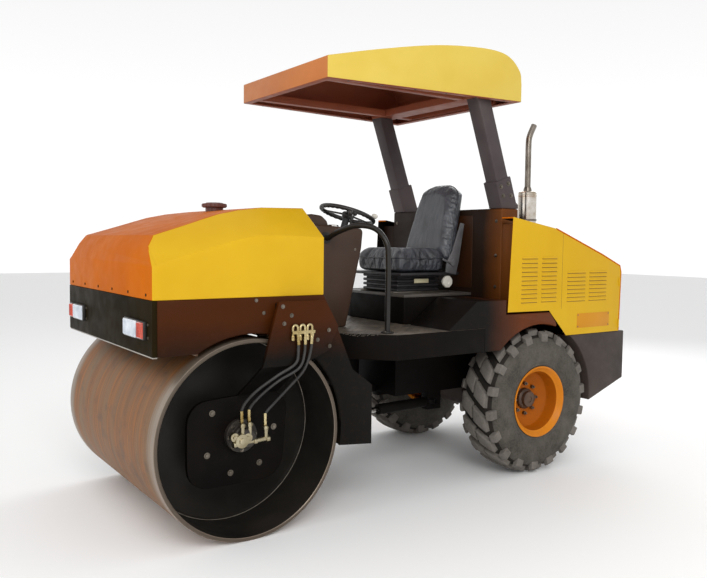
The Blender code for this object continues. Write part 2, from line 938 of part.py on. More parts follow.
def make_bulkhead():
    wall = block(
        "bulkhead",
        (bulkhead_rear, -post_spread - 0.060, fender_top + fit_gap),
        (bulkhead_front, post_spread + 0.060, bulkhead_top),
        black,
        0.010,
    )
    foot = block(
        "bulkhead_foot",
        (bulkhead_rear + 0.005, -0.330, fork_high + fit_gap),
        (bulkhead_front - 0.005, 0.330, 1.060),
        black,
    )
    return join(wall, foot)


def make_pedestal():
    rear = bulkhead_front + fit_gap
    low = (rear, -0.300, floor_top + fit_gap)
    return block("seat_pedestal", low, (axle_x + 0.800, 0.300, pedestal_top), black, 0.006)


def make_seat():
    base = block(
        "seat_suspension",
        (axle_x + 0.420, -0.190, pedestal_top + fit_gap),
        (axle_x + 0.770, 0.190, seat_plate - 0.010),
        black,
    )
    pan_low = (axle_x + 0.300, -0.250, seat_plate - 0.020)
    pan = block("seat_pan", pan_low, (axle_x + 0.790, 0.250, seat_plate), black)
    join(base, pan)
    for name, side in sides_y:
        bracket = block(
            f"recliner_{name}",
            (axle_x + 0.302, span(side, seat_half + fit_gap, 0.248)[0], seat_plate - 0.010),
            (axle_x + 0.385, span(side, seat_half + fit_gap, 0.248)[1], seat_plate + 0.180),
            black,
        )
        join(base, bracket)
    cushion = block(
        "seat_cushion",
        (axle_x + 0.400, -0.240, seat_plate + fit_gap),
        (axle_x + 0.800, 0.240, 1.420),
        vinyl,
        0.040,
    )
    lean = radians(12)
    half = 0.275
    back = block("seat_backrest", (-0.045, -seat_half, -half), (0.040, seat_half, half), vinyl, 0.030)
    back.location = (axle_x + 0.365 - half * sin(lean), 0, 1.345 + half * cos(lean))
    back.rotation_euler = (0, -lean, 0)
    return base, cushion, back


def make_console():
    outline = [
        (axle_x + 1.180, floor_top + fit_gap),
        (axle_x + 1.460, floor_top + fit_gap),
        (axle_x + 1.500, 1.450),
        (axle_x + 1.440, 1.580),
        (axle_x + 1.060, 1.560),
        (axle_x + 1.070, 1.440),
    ]
    console = plate("console", outline, -console_half, console_half, black)
    socket = rod(
        "column_socket",
        steer_centre - steer_axis * (column_length + fit_gap),
        steer_centre,
        column_radius + fit_gap,
        black,
    )
    return cut(console, socket)


def make_steering():
    column = rod(
        "steering_column",
        steer_centre - steer_axis * column_length,
        steer_centre - steer_axis * 0.0285,
        column_radius,
        black,
    )
    grip = 0.014
    around, across = 28, 8
    shape = bmesh.new()
    rings = []
    for i in range(around):
        turn = 2 * pi * i / around
        ring = []
        for j in range(across):
            spin = 2 * pi * j / across
            r = wheel_ring + grip * cos(spin)
            ring.append(shape.verts.new((r * cos(turn), r * sin(turn), grip * sin(spin))))
        rings.append(ring)
    for near, far in zip(rings, rings[1:] + rings[:1]):
        for j in range(across):
            k = (j + 1) % across
            shape.faces.new((near[j], near[k], far[k], far[j]))
    wheel = from_bmesh("steering_wheel", shape, black, steer_centre)
    wheel.rotation_euler = (0, -steer_tilt, 0)
    hub_low, hub_high = steer_centre - steer_axis * 0.028, steer_centre + steer_axis * 0.016
    hub = rod("steering_hub", hub_low, hub_high, 0.032, black, 16)
    join(wheel, hub)
    for i in range(3):
        turn = 2 * pi * i / 3 + pi
        out = Vector((cos(turn) * cos(steer_tilt), sin(turn), cos(turn) * sin(steer_tilt)))
        spoke = rod(
            f"steering_spoke_{i}",
            steer_centre + out * 0.020 - steer_axis * 0.006,
            steer_centre + out * wheel_ring,
            0.009,
            black,
            8,
        )
        join(wheel, spoke)
    return column, wheel


def make_handrails():
    radius = 0.016
    for name, side in sides_y:
        knots = (
            (axle_x + 1.330, side * (console_half + 0.030), 1.500),
            (axle_x + 1.315, side * 0.330, 1.535),
            (axle_x + 1.260, side * 0.430, 1.570),
            (axle_x + 1.195, side * 0.520, 1.555),
            (axle_x + 1.165, side * 0.590, 1.480),
            (axle_x + 1.155, side * 0.600, 1.380),
            (axle_x + 1.155, side * 0.600, 1.150),
            (axle_x + 1.155, side * 0.600, floor_top + fit_gap),
        )
        foot = (axle_x + 1.330, side * (console_half + fit_gap), 1.500)
        tube(f"handrail_{name}", [foot, *smooth_route(knots, 4)], radius, black, 2)


def make_posts():
    made = []
    lean_along = Vector((sin(post_lean), 0, cos(post_lean)))
    for name, side in sides_y:
        foot = Vector((axle_x + 0.155, side * post_spread, bulkhead_top + fit_gap))
        length = (roof_seat + 0.030 - bulkhead_top) / cos(post_lean)
        post = block(
            f"rops_post_{name}",
            (-post_size / 2, -post_size / 2, 0.0),
            (post_size / 2, post_size / 2, length),
            black,
            0.008,
        )
        middle = foot + lean_along * (length / 2)
        post.location = middle
        post.rotation_euler = (0, post_lean, 0)
        base = block(
            f"post_base_{name}",
            (foot.x - 0.074, foot.y - 0.058, foot.z),
            (foot.x + 0.074, foot.y + 0.058, foot.z + 0.030),
            black,
        )
        socket = block(f"post_socket_{name}", (-0.066, -0.058, 0.0), (0.066, 0.058, 0.190), black)
        socket.location = foot + lean_along * (0.100)
        socket.rotation_euler = (0, post_lean, 0)
        join(post, base, socket)
        trim_low = block(
            f"post_trim_low_{name}",
            (foot.x - 0.4, foot.y - 0.2, foot.z - 0.3),
            (foot.x + 0.4, foot.y + 0.2, foot.z),
            black,
        )
        trim_high = block(
            f"post_trim_high_{name}",
            (foot.x - 0.4, foot.y - 0.2, roof_seat),
            (foot.x + 0.7, foot.y + 0.2, canopy_bottom + 0.3),
            black,
        )
        made.append(cut(post, trim_low, trim_high))
    return made


def canopy_outline(inset, bottom):
    """The canopy's side view, drawn in by inset."""
    front = canopy_front - inset
    rear = canopy_rear + inset
    crown = [
        (front, 2.462 - inset),
        (canopy_front - 0.330, 2.555 - inset),
        (canopy_front - 0.680, 2.622 - inset),
        (canopy_front - 0.960, 2.652 - inset),
        (canopy_front - 1.180, 2.655 - inset),
        (canopy_front - 1.290, 2.625 - inset),
        (rear, 2.500 - inset / 2),
    ]
    return [(front, bottom)] + crown + [(rear, bottom)]


def taper_canopy(made, inset):
    """Narrows a full-width extrusion towards the canopy's front."""
    for vertex in made.data.vertices:
        world = made.matrix_world @ vertex.co
        share = (world.x - canopy_rear) / (canopy_front - canopy_rear)
        half = canopy_rear_half + (canopy_front_half - canopy_rear_half) * share - inset
        world.y = half if world.y > 0 else -half
        vertex.co = made.matrix_world.inverted() @ world
    return made


def make_canopy():
    half = canopy_rear_half
    roof = taper_canopy(plate("canopy", canopy_outline(0, canopy_bottom), -half, half, yellow), 0)
    inner = canopy_outline(canopy_sheet, roof_seat)
    cavity = taper_canopy(plate("canopy_cavity", inner, -half, half, yellow), canopy_sheet)
    lip = canopy_lip
    mouth_low = (canopy_rear + lip, -half, canopy_bottom - 0.1)
    mouth = block("canopy_mouth", mouth_low, (canopy_front - lip, half, canopy_bottom + 0.05), yellow)
    for vertex in mouth.data.vertices:
        x = mouth.location.x + vertex.co.x
        share = (x - canopy_rear) / (canopy_front - canopy_rear)
        edge = canopy_rear_half + (canopy_front_half - canopy_rear_half) * share - lip
        vertex.co.y = edge if vertex.co.y > 0 else -edge
    return cut(roof, cavity, mouth)


def make_canopy_frame():
    """The tube frame inside the roof, which sits on the posts and carries the roof's crown."""
    low = roof_seat + fit_gap
    high = low + 0.045
    top_x = axle_x + 0.388
    cross = block("canopy_frame", (top_x - 0.070, -0.545, low), (top_x + 0.070, 0.545, high), black)
    reach = canopy_sheet + 0.010
    for name, side in sides_y:
        rail = block(
            f"roof_rail_{name}",
            (canopy_rear + reach, span(side, 0.380, 0.430)[0], low + 0.001),
            (canopy_front - reach, span(side, 0.380, 0.430)[1], high - 0.001),
            black,
        )
        join(cross, rail)
    for name, x in (("front", canopy_front - reach - 0.040), ("rear", canopy_rear + reach)):
        beam = block(f"roof_beam_{name}", (x, -0.440, low), (x + 0.040, 0.440, high - 0.002), black)
        join(cross, beam)
    return cross


# ---------------------------------------------------------------- engine hood


def hood_outline(inset):
    """The engine hood's side view, drawn in by inset along its top and its back."""
    return [
        (axle_x + 0.270, 1.642 - inset),
        (axle_x - 0.130, 1.577 - inset),
        (axle_x - 0.600, 1.411 - inset),
        (axle_x - 0.795 + inset, 1.335 - inset),
        (axle_x - 0.810 + inset, 1.288),
        (axle_x - 0.798 + inset, hood_low - inset),
        (axle_x - 0.247, hood_low - inset),
        (axle_x - 0.077, 1.048 - inset),
        (axle_x + 0.300, 1.052 - inset),
    ]


def make_engine_hood():
    hood = plate("engine_hood", hood_outline(0), -half_body, half_body, yellow)
    inner = hood_outline(sheet)
    inner[0] = (axle_x + 0.400, inner[0][1] + 0.013)
    inner[-1] = (axle_x + 0.400, 0.700)
    inner[-2] = (axle_x - 0.077, 0.700)
    inner[-3] = (axle_x - 0.247, 0.700)
    inner[-4] = (inner[-4][0], 0.700)
    hollow = plate("hood_hollow", inner, -half_body + sheet, half_body - sheet, yellow)
    notch = block(
        "hood_notch", (axle_x + 0.060, -0.600, 1.200), (axle_x + 0.500, 0.600, 1.800), yellow
    )
    return cut(hood, hollow, notch)


def make_exhaust():
    x, y = axle_x + muffler_place[0], muffler_place[1]
    front, rear = hood_outline(0)[1:3]
    slope = (front[1] - rear[1]) / (front[0] - rear[0])
    reach = 0.2
    seat_rear = front[1] + slope * (x - reach - front[0]) + 0.001
    seat_front = front[1] + slope * (x + reach - front[0]) + 0.001
    muffler = rod("muffler", (x, y, seat_rear), (x, y, muffler_top), 0.065, chrome)
    below = [(x - reach, seat_rear - reach), (x + reach, seat_rear - reach), (x + reach, seat_front)]
    foot_cut = plate("muffler_foot_cut", [*below, (x - reach, seat_rear)], y - reach, y + reach, chrome)
    cut(muffler, foot_cut)
    bend = smooth_route(
        (
            (x, y, muffler_top + fit_gap),
            (x, y, muffler_top + 0.160),
            (x, y, muffler_top + 0.330),
            (x - 0.012, y, muffler_top + 0.390),
            (x - 0.050, y, muffler_top + 0.460),
        ),
        4,
    )
    pipe = tube("exhaust_pipe", bend, 0.021, steel, 2)
    return muffler, pipe


def make_engine():
    return block("engine_block", engine_low, engine_high, iron, 0.010)


# ---------------------------------------------------------------- rear wheels


def make_wheels():
    mid = tyre_track / 2
    half = tyre_width / 2
    for name, side in sides_y:
        axis = (axle_x, side * mid, tyre_radius)
        bead = rim_radius - 0.022
        crown = [
            (bead, half - 0.045),
            (bead + 0.030, half - 0.020),
            (0.310, half),
            (0.370, half - 0.002),
            (0.425, half - 0.016),
            (0.450, half - 0.034),
            (tyre_radius, half - 0.075),
        ]
        profile = crown + [(r, -y) for r, y in reversed(crown)]
        tyre = turned(f"tyre_{name}", profile, axis, tyre_sides, rubber)
        well = bead - fit_gap
        out = side
        rim_profile = [
            (well, out * (half - 0.045 + fit_gap)),
            (rim_radius - 0.006, out * (half - 0.028)),
            (rim_radius - 0.006, out * (half - 0.020)),
            (well - 0.004, out * (half - 0.034)),
            (well - 0.014, out * (half - 0.060)),
            (well - 0.014, out * 0.020),
            (0.150, out * 0.000),
            (0.070, out * -0.010),
            (0.070, out * -0.022),
            (0.150, out * -0.014),
            (well - 0.014, out * -0.010),
            (well - 0.014, out * (-half + 0.040)),
            (well, out * (-half + 0.046)),
        ]
        rim = turned(f"rim_{name}", rim_profile, axis, tyre_sides, orange)
        hub_in = hub_face + 0.0005
        hub = rod(
            f"hub_{name}",
            (axle_x, side * hub_in, tyre_radius),
            (axle_x, side * (mid - 0.0226), tyre_radius),
            0.105,
            iron,
        )
        cap = rod(
            f"hub_cap_{name}",
            (axle_x, side * (mid - 0.030), tyre_radius),
            (axle_x, side * (mid + 0.055), tyre_radius),
            0.066,
            iron,
        )
        join(hub, cap)
        hang(wheel_axes[name], tyre, rim, hub)


# ---------------------------------------------------------------- assembly

steer_axis_empty = axis_empty("steer_axis", (pivot_x, 0, pivot_height))
front_axis = axis_empty("roll_axis", (pivot_x, 0, roll_height))
drum_axis = axis_empty("drum_axis", (drum_x, 0, drum_radius))
hinge_axis = axis_empty("hood_hinge_axis", (hood_hinge[0], 0, hood_hinge[1]))
wheel_axes = {
    name: axis_empty(f"wheel_axis_{name}", (axle_x, side * tyre_track / 2, tyre_radius))
    for name, side in sides_y
}

hang(front_axis, make_front_frame(), make_bumper(), make_front_hood(), make_tank_cap())
make_lamps()
hang(drum_axis, make_drum(), *make_drum_hubs())
hang(front_axis, *make_drum_supports(), *make_drum_motors(), *make_hoses(), *make_scrapers())
hang(steer_axis_empty, make_yoke())
make_pivot_pin()
for cylinder_name, cylinder_side in sides_y:
    swing = axis_empty(
        f"cylinder_axis_{cylinder_name}",
        (rear_eye[0], cylinder_side * rear_eye[1], cylinder_height),
    )
    hang(swing, *make_cylinder(cylinder_name, cylinder_side))
make_chassis()
make_rear_axle()
make_floor()
make_underframe()
make_fenders()
make_counterweight()
make_bulkhead()
make_pedestal()
make_seat()
make_console()
make_steering()
make_handrails()
make_posts()
make_canopy()
make_canopy_frame()
make_engine()
hang(hinge_axis, make_engine_hood(), *make_exhaust())
make_wheels()
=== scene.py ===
from math import atan2, cos, hypot, pi, radians, sin

import bpy
from mathutils import Matrix, Vector


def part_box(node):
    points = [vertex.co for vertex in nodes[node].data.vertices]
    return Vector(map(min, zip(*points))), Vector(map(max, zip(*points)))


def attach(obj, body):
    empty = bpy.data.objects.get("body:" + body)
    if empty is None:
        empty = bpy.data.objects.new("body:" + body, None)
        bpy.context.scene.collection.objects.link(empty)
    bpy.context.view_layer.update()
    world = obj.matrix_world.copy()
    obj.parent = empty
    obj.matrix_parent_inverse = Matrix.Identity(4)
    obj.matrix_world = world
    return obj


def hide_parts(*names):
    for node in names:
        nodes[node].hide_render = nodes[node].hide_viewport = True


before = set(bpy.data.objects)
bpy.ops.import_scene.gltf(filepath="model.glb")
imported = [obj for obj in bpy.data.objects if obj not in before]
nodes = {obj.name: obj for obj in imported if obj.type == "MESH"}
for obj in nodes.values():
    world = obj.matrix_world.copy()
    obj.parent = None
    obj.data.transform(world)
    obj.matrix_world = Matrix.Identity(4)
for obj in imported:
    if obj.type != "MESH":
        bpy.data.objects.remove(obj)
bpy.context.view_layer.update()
sides = (("left", 1), ("right", -1))

# Places that many pieces share, read from the frame
drumLow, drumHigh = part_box("drum")
drumX = (drumLow.x + drumHigh.x) / 2
drumRadius = drumHigh.z / 2
drumHalf = drumHigh.y
tyreLow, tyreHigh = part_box("tyre_left")
axleX = (tyreLow.x + tyreHigh.x) / 2
tyreRadius = tyreHigh.z / 2
tyreMid = (tyreLow.y + tyreHigh.y) / 2
tyreHalf = (tyreHigh.y - tyreLow.y) / 2
hoodSide = 0.7000  # the engine hood's flat side, from the middle of the machine


def deselectAll():
    if bpy.context.object and bpy.context.object.mode != "OBJECT":
        bpy.ops.object.mode_set(mode="OBJECT")
    bpy.ops.object.select_all(action="DESELECT")


def makeActive(piece):
    deselectAll()
    piece.select_set(True)
    bpy.context.view_layer.objects.active = piece
    return piece


def editMode(piece):
    makeActive(piece)
    bpy.ops.object.mode_set(mode="EDIT")
    bpy.ops.mesh.select_all(action="SELECT")


def objectMode():
    bpy.ops.object.mode_set(mode="OBJECT")


def settle(piece):  # the piece's place goes into its mesh
    makeActive(piece)
    bpy.ops.object.transform_apply(location=True, rotation=True, scale=True)
    return piece


def applyAll(piece):
    makeActive(piece)
    for modifier in list(piece.modifiers):
        bpy.ops.object.modifier_apply(modifier=modifier.name)
    return piece


def mergeDoubles(piece, closeTo=0.00001):
    editMode(piece)
    bpy.ops.mesh.remove_doubles(threshold=closeTo)
    bpy.ops.mesh.normals_make_consistent(inside=False)
    objectMode()


def roundEdges(piece, width, segments=2, angle=30):
    bevel = piece.modifiers.new("roundEdges", "BEVEL")
    bevel.width = width
    bevel.segments = segments
    bevel.limit_method = "ANGLE"
    bevel.angle_limit = radians(angle)
    return applyAll(piece)


def selectFaces(piece, wanted):  # wanted takes a face's centre and normal
    editMode(piece)
    bpy.ops.mesh.select_all(action="DESELECT")
    bpy.ops.mesh.select_mode(type="FACE")
    objectMode()
    for face in piece.data.polygons:
        face.select = bool(wanted(face.center, face.normal))


def box(name, low, high, bevel=0.003, segments=2):
    low, high = Vector(low), Vector(high)
    deselectAll()
    bpy.ops.mesh.primitive_cube_add(size=1, location=(low + high) / 2)
    piece = bpy.context.object
    piece.name = name
    piece.scale = high - low
    settle(piece)
    return roundEdges(piece, bevel, segments) if bevel else piece


def rod(name, start, end, radius, sidesRound=32, bevel=0.002, tip=None):
    start, end = Vector(start), Vector(end)
    deselectAll()
    bpy.ops.mesh.primitive_cone_add(
        vertices=sidesRound, radius1=radius, radius2=radius if tip is None else tip,
        depth=(end - start).length, location=(start + end) / 2,
        rotation=(end - start).to_track_quat("Z", "Y").to_euler(),
    )
    piece = bpy.context.object
    piece.name = name
    settle(piece)
    return roundEdges(piece, bevel, 2) if bevel else piece


def drawnLine(name, points):  # one vertex, extruded from point to point
    deselectAll()
    bpy.ops.mesh.primitive_plane_add(size=0.01)
    piece = bpy.context.object
    piece.name = name
    editMode(piece)
    bpy.ops.mesh.merge(type="CENTER")
    bpy.ops.transform.translate(value=points[0])
    for near, far in zip(points, points[1:]):
        move = tuple(b - a for a, b in zip(near, far))
        bpy.ops.mesh.extrude_region_move(TRANSFORM_OT_translate={"value": move})
    bpy.ops.mesh.select_all(action="SELECT")
    return piece


def turned(name, profile, centre=(0, 0, 0), steps=96):  # profile of (radius, along y)
    piece = drawnLine(name, [(radius, along, 0) for radius, along in [*profile, profile[0]]])
    bpy.ops.mesh.remove_doubles(threshold=0.00001)
    bpy.ops.mesh.select_all(action="SELECT")
    bpy.ops.mesh.spin(steps=steps, angle=2 * pi, center=(0, 0, 0), axis=(0, 1, 0))
    objectMode()
    piece.location = centre
    settle(piece)
    mergeDoubles(piece)
    return piece


def prism(name, outline, nearY, farY, bevel=0.006, segments=2):  # outline of (x, z), drawn out along y
    piece = drawnLine(name, [(x, nearY, z) for x, z in outline])
    bpy.ops.mesh.edge_face_add()
    bpy.ops.mesh.select_all(action="SELECT")
    bpy.ops.mesh.extrude_region_move(TRANSFORM_OT_translate={"value": (0, farY - nearY, 0)})
    bpy.ops.mesh.select_all(action="SELECT")
    bpy.ops.mesh.normals_make_consistent(inside=False)
    objectMode()
    return roundEdges(piece, bevel, segments, 25) if bevel else piece


def smoothRoute(knots, steps):
    knots = [Vector(k) for k in knots]
    ends = [2 * knots[0] - knots[1]] + knots + [2 * knots[-1] - knots[-2]]
    route = []
    for a, b, c, d in zip(ends, ends[1:], ends[2:], ends[3:]):
        for i in range(steps):
            t = i / steps
            bend = (2 * a - 5 * b + 4 * c - d) * t**2 + (3 * b - a - 3 * c + d) * t**3
            route.append(0.5 * (2 * b + (c - a) * t + bend))
    return route + [knots[-1]]


def tube(name, points, radius, resolution=4):
    curve = bpy.data.curves.new(name, "CURVE")
    curve.dimensions = "3D"
    curve.bevel_depth = radius
    curve.bevel_resolution = resolution
    curve.use_fill_caps = True
    spline = curve.splines.new("POLY")
    spline.points.add(len(points) - 1)
    for point, at in zip(spline.points, points):
        point.co = (*at, 1)
    piece = bpy.data.objects.new(name, curve)
    bpy.context.scene.collection.objects.link(piece)
    makeActive(piece)
    bpy.ops.object.convert(target="MESH")
    mergeDoubles(piece, 0.00002)
    return piece


def joined(name, pieces):
    deselectAll()
    for piece in pieces:
        piece.select_set(True)
    bpy.context.view_layer.objects.active = pieces[0]
    if len(pieces) > 1:
        bpy.ops.object.join()
    made = bpy.context.object
    made.name = name
    made.data.name = name
    return made


def copiesOf(source, places):  # each copy has its own mesh, turned and moved by a matrix
    made = []
    for place in places:
        copy = bpy.data.objects.new(source.name, source.data.copy())
        copy.data.transform(place)
        bpy.context.scene.collection.objects.link(copy)
        made.append(copy)
    bpy.data.objects.remove(source)
    return made


def cadCopy(node):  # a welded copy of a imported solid, with its flat faces whole again
    piece = bpy.data.objects.new(node + "_finish", nodes[node].data.copy())
    bpy.context.scene.collection.objects.link(piece)
    editMode(piece)
    bpy.ops.mesh.remove_doubles(threshold=0.00002)
    bpy.ops.mesh.dissolve_limited(angle_limit=radians(0.6))
    objectMode()
    return piece


def place(piece, at, turn=None):  # the mesh is turned, then moved
    piece.data.transform(Matrix.Translation(at) @ (turn or Matrix()))
    return piece


def paintFaces(piece, materials, choose):  # choose gives a slot number for a face's centre and normal
    piece.data.materials.clear()
    for material in materials:
        piece.data.materials.append(material)
    for face in piece.data.polygons:
        face.material_index = choose(face.center, face.normal)
    piece["keepsSlots"] = True


def dress(piece, material, body, slot, *standsFor, angle=35):
    settle(piece)
    if not piece.get("keepsSlots"):
        piece.data.materials.clear()
        piece.data.materials.append(material)
    makeActive(piece)
    bpy.ops.object.shade_smooth_by_angle(angle=radians(angle))
    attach(piece, body)
    if standsFor:
        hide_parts(*standsFor)
    return piece


def finished(node, material, body, bevel, slotName="black_enamel"):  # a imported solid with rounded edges
    return dress(roundEdges(cadCopy(node), bevel), material, body, slotName, node)


def colour(text):  # sRGB hex to the linear values that Blender works in
    found = []
    for i in (0, 2, 4):
        c = int(text[i:i + 2], 16) / 255
        found.append(c / 12.92 if c <= 0.04045 else ((c + 0.055) / 1.055) ** 2.4)
    return (*found, 1.0)


def addNode(tree, kind, inputs=None, output=0, **settings):  # an input is a value or another node's output
    made = tree.nodes.new("ShaderNode" + kind)
    for key, value in settings.items():
        setattr(made, key, value)
    for key, value in (inputs or {}).items():
        if isinstance(value, bpy.types.NodeSocket):
            tree.links.new(value, made.inputs[key])
        else:
            made.inputs[key].default_value = value
    return made.outputs[output]


def newMaterial(name, **shaderValues):
    material = bpy.data.materials.new(name)
    material.use_nodes = True
    tree = material.node_tree
    shader = tree.nodes["Principled BSDF"]
    for key, value in shaderValues.items():
        shader.inputs[key.replace("_", " ")].default_value = value
    return material, tree, shader, addNode(tree, "TexCoord", output="Object")


def surface(material, shader, **drivers):  # what drives the shader's colour, roughness and normal
    for key, source in drivers.items():
        material.node_tree.links.new(source, shader.inputs[key.replace("_", " ")])
    return material


def enamel(
    name, face, shade, roughness=0.42, dust="5a4028", dustiness=0.08, gloss=0.10, coat=0.0, paintedLightRamp=None
):
    # two-pack enamel sprayed on sheet steel: even colour, faint orange peel, dust that lies in patches
    material, tree, shader, coords = newMaterial(
        name, Roughness=roughness, Coat_Weight=coat, Coat_Roughness=0.2, Specular_IOR_Level=gloss
    )
    # a painted light and shade ramp: one end of the panel painted lit, the other painted shaded
    if paintedLightRamp:  # the tone goes from one end of the panel to the other, between two places along an axis
        axis, start, end = paintedLightRamp
        cloud = addNode(tree, "TexNoise", {"Vector": coords, "Scale": 5, "Detail": 4, "Roughness": 0.55})
        uneven = addNode(tree, "MapRange", {0: cloud, 1: 0.2, 2: 0.8, 3: -0.03, 4: 0.03})
        along = addNode(tree, "SeparateXYZ", {"Vector": coords}, axis)
        ragged = addNode(tree, "Math", {0: along, 1: uneven}, operation="ADD")
        tone = addNode(tree, "MapRange", {0: ragged, 1: start, 2: end})
    else:
        cloud = addNode(tree, "TexNoise", {"Vector": coords, "Scale": 2.2, "Detail": 3, "Roughness": 0.55})
        tone = addNode(tree, "MapRange", {0: cloud, 1: 0.35, 2: 0.65})
    base = addNode(tree, "Mix", {0: tone, 6: colour(face), 7: colour(shade)}, 2, data_type="RGBA")
    specks = addNode(tree, "TexNoise", {"Vector": coords, "Scale": 38, "Detail": 5, "Roughness": 0.7})
    lying = addNode(tree, "MapRange", {0: specks, 1: 0.55, 2: 0.75, 3: 0.0, 4: dustiness})
    dusty = addNode(tree, "Mix", {0: lying, 6: base, 7: colour(dust)}, 2, data_type="RGBA")
    smears = addNode(tree, "TexNoise", {"Vector": coords, "Scale": 14, "Detail": 4, "Roughness": 0.55})
    rough = addNode(tree, "MapRange", {0: smears, 1: 0.3, 2: 0.7, 3: roughness - 0.06, 4: roughness + 0.10})
    peel = addNode(tree, "TexNoise", {"Vector": coords, "Scale": 260, "Detail": 2, "Roughness": 0.55})
    # real peel is about 1 mm across and wouldn't show, so it is drawn at 4 mm
    relief = addNode(tree, "Bump", {"Height": peel, "Strength": 0.08, "Distance": 0.0006})
    return surface(material, shader, Base_Color=dusty, Roughness=rough, Normal=relief)


def plain(name, face, shade, roughness, metallic=0.0, grainScale=120.0, bump=0.1, **more):
    # one finish with a slow colour change and a fine grain, for castings, plating, plastics and bare steel
    material, tree, shader, coords = newMaterial(name, Roughness=roughness, Metallic=metallic, **more)
    cloud = addNode(tree, "TexNoise", {"Vector": coords, "Scale": 11, "Detail": 5, "Roughness": 0.55})
    tone = addNode(tree, "MapRange", {0: cloud, 1: 0.35, 2: 0.65})
    base = addNode(tree, "Mix", {0: tone, 6: colour(face), 7: colour(shade)}, 2, data_type="RGBA")
    smears = addNode(tree, "TexNoise", {"Vector": coords, "Scale": 30, "Detail": 4, "Roughness": 0.55})
    rough = addNode(tree, "MapRange", {0: smears, 1: 0.3, 2: 0.7, 3: roughness * 0.8, 4: roughness * 1.25})
    grain = addNode(
        tree, "TexNoise", {"Vector": coords, "Scale": grainScale, "Detail": 4, "Roughness": 0.55}
    )
    relief = addNode(tree, "Bump", {"Height": grain, "Strength": bump, "Distance": 0.0008})
    return surface(material, shader, Base_Color=base, Roughness=rough, Normal=relief)


def makeDrumSteel():
    # rolled plate, rusted brown in streaks along its travel and ground bright by the road at its edges;
    # real scratches are under 1 mm wide, and these are drawn at 10 to 20 mm so that they show
    material, tree, shader, coords = newMaterial("rolledDrumSteel", Metallic=0.55, Roughness=0.5)
    centred = addNode(tree, "Mapping", {"Vector": coords, "Location": (-drumX, 0, -drumRadius)})
    x, y, z = addNode(tree, "SeparateXYZ", {"Vector": centred}).node.outputs
    turn = addNode(tree, "Math", {0: x, 1: z}, operation="ARCTAN2")
    around = addNode(tree, "CombineXYZ", {"X": turn, "Y": y, "Z": turn})
    thin = addNode(tree, "Mapping", {"Vector": around, "Scale": (1.3, 55, 0.0)})
    streaks = addNode(tree, "TexNoise", {"Vector": thin, "Scale": 1.0, "Detail": 6, "Roughness": 0.6})
    wide = addNode(tree, "Mapping", {"Vector": around, "Scale": (0.5, 9, 0.0)})
    bands = addNode(tree, "TexNoise", {"Vector": wide, "Scale": 1.0, "Detail": 3, "Roughness": 0.5})
    patches = addNode(tree, "TexNoise", {"Vector": coords, "Scale": 6.5, "Detail": 6, "Roughness": 0.65})

    share = addNode(tree, "MapRange", {0: streaks, 1: 0.35, 2: 0.65})
    rust = addNode(tree, "Mix", {0: share, 6: colour("6e4f36"), 7: colour("9c6430")}, 2, data_type="RGBA")
    share = addNode(tree, "MapRange", {0: bands, 1: 0.42, 2: 0.62})
    rust = addNode(tree, "Mix", {0: share, 6: rust, 7: colour("7f6347")}, 2, data_type="RGBA")
    share = addNode(tree, "MapRange", {0: patches, 1: 0.52, 2: 0.70, 3: 0.0, 4: 0.75})
    rust = addNode(tree, "Mix", {0: share, 6: rust, 7: colour("5f4c3f")}, 2, data_type="RGBA")

    across = addNode(tree, "Math", {0: y, 1: 0.0}, operation="ABSOLUTE")
    fromEdge = addNode(tree, "Math", {0: drumHalf, 1: across}, operation="SUBTRACT")
    uneven = addNode(tree, "MapRange", {0: streaks, 1: 0.2, 2: 0.8, 3: -0.035, 4: 0.035})
    ragged = addNode(tree, "Math", {0: fromEdge, 1: uneven}, operation="ADD")
    worn = addNode(tree, "MapRange", {0: ragged, 1: 0.10, 2: 0.03})
    share = addNode(tree, "Math", {0: worn, 1: 0.7}, operation="MULTIPLY")
    skin = addNode(tree, "Mix", {0: share, 6: rust, 7: colour("8f877c")}, 2, data_type="RGBA")
    share = addNode(tree, "MapRange", {0: fromEdge, 1: 0.0035, 2: 0.001, 3: 0.0, 4: 0.85})
    skin = addNode(tree, "Mix", {0: share, 6: skin, 7: colour("4c4238")}, 2, data_type="RGBA")
    rough = addNode(tree, "MapRange", {0: worn, 1: 0.0, 2: 1.0, 3: 0.56, 4: 0.34})

    fine = addNode(tree, "Math", {0: streaks, 1: 0.7}, operation="MULTIPLY")
    coarse = addNode(tree, "Math", {0: patches, 1: 0.5}, operation="MULTIPLY")
    grit = addNode(tree, "Math", {0: fine, 1: coarse}, operation="ADD")
    relief = addNode(tree, "Bump", {"Height": grit, "Strength": 0.35, "Distance": 0.002})
    return surface(material, shader, Base_Color=skin, Roughness=rough, Normal=relief)


def makeRubber(name, clean, soiled, dust):
    # filled natural rubber, dull and nearly black, with dry soil on its faces
    material, tree, shader, coords = newMaterial(name, Roughness=0.85, Specular_IOR_Level=0.25)
    clods = addNode(tree, "TexNoise", {"Vector": coords, "Scale": 9, "Detail": 6, "Roughness": 0.7})
    soil = addNode(tree, "MapRange", {0: clods, 1: 0.35, 2: 0.68})
    base = addNode(tree, "Mix", {0: soil, 6: colour(clean), 7: colour(soiled)}, 2, data_type="RGBA")
    specks = addNode(tree, "TexNoise", {"Vector": coords, "Scale": 90, "Detail": 4, "Roughness": 0.7})
    fine = addNode(tree, "MapRange", {0: specks, 1: 0.35, 2: 0.7})
    share = addNode(tree, "Math", {0: fine, 1: 0.35}, operation="MULTIPLY")
    dusty = addNode(tree, "Mix", {0: share, 6: base, 7: colour(dust)}, 2, data_type="RGBA")
    skin = addNode(tree, "TexNoise", {"Vector": coords, "Scale": 160, "Detail": 5, "Roughness": 0.7})
    relief = addNode(tree, "Bump", {"Height": skin, "Strength": 0.3, "Distance": 0.0015})
    return surface(material, shader, Base_Color=dusty, Normal=relief)


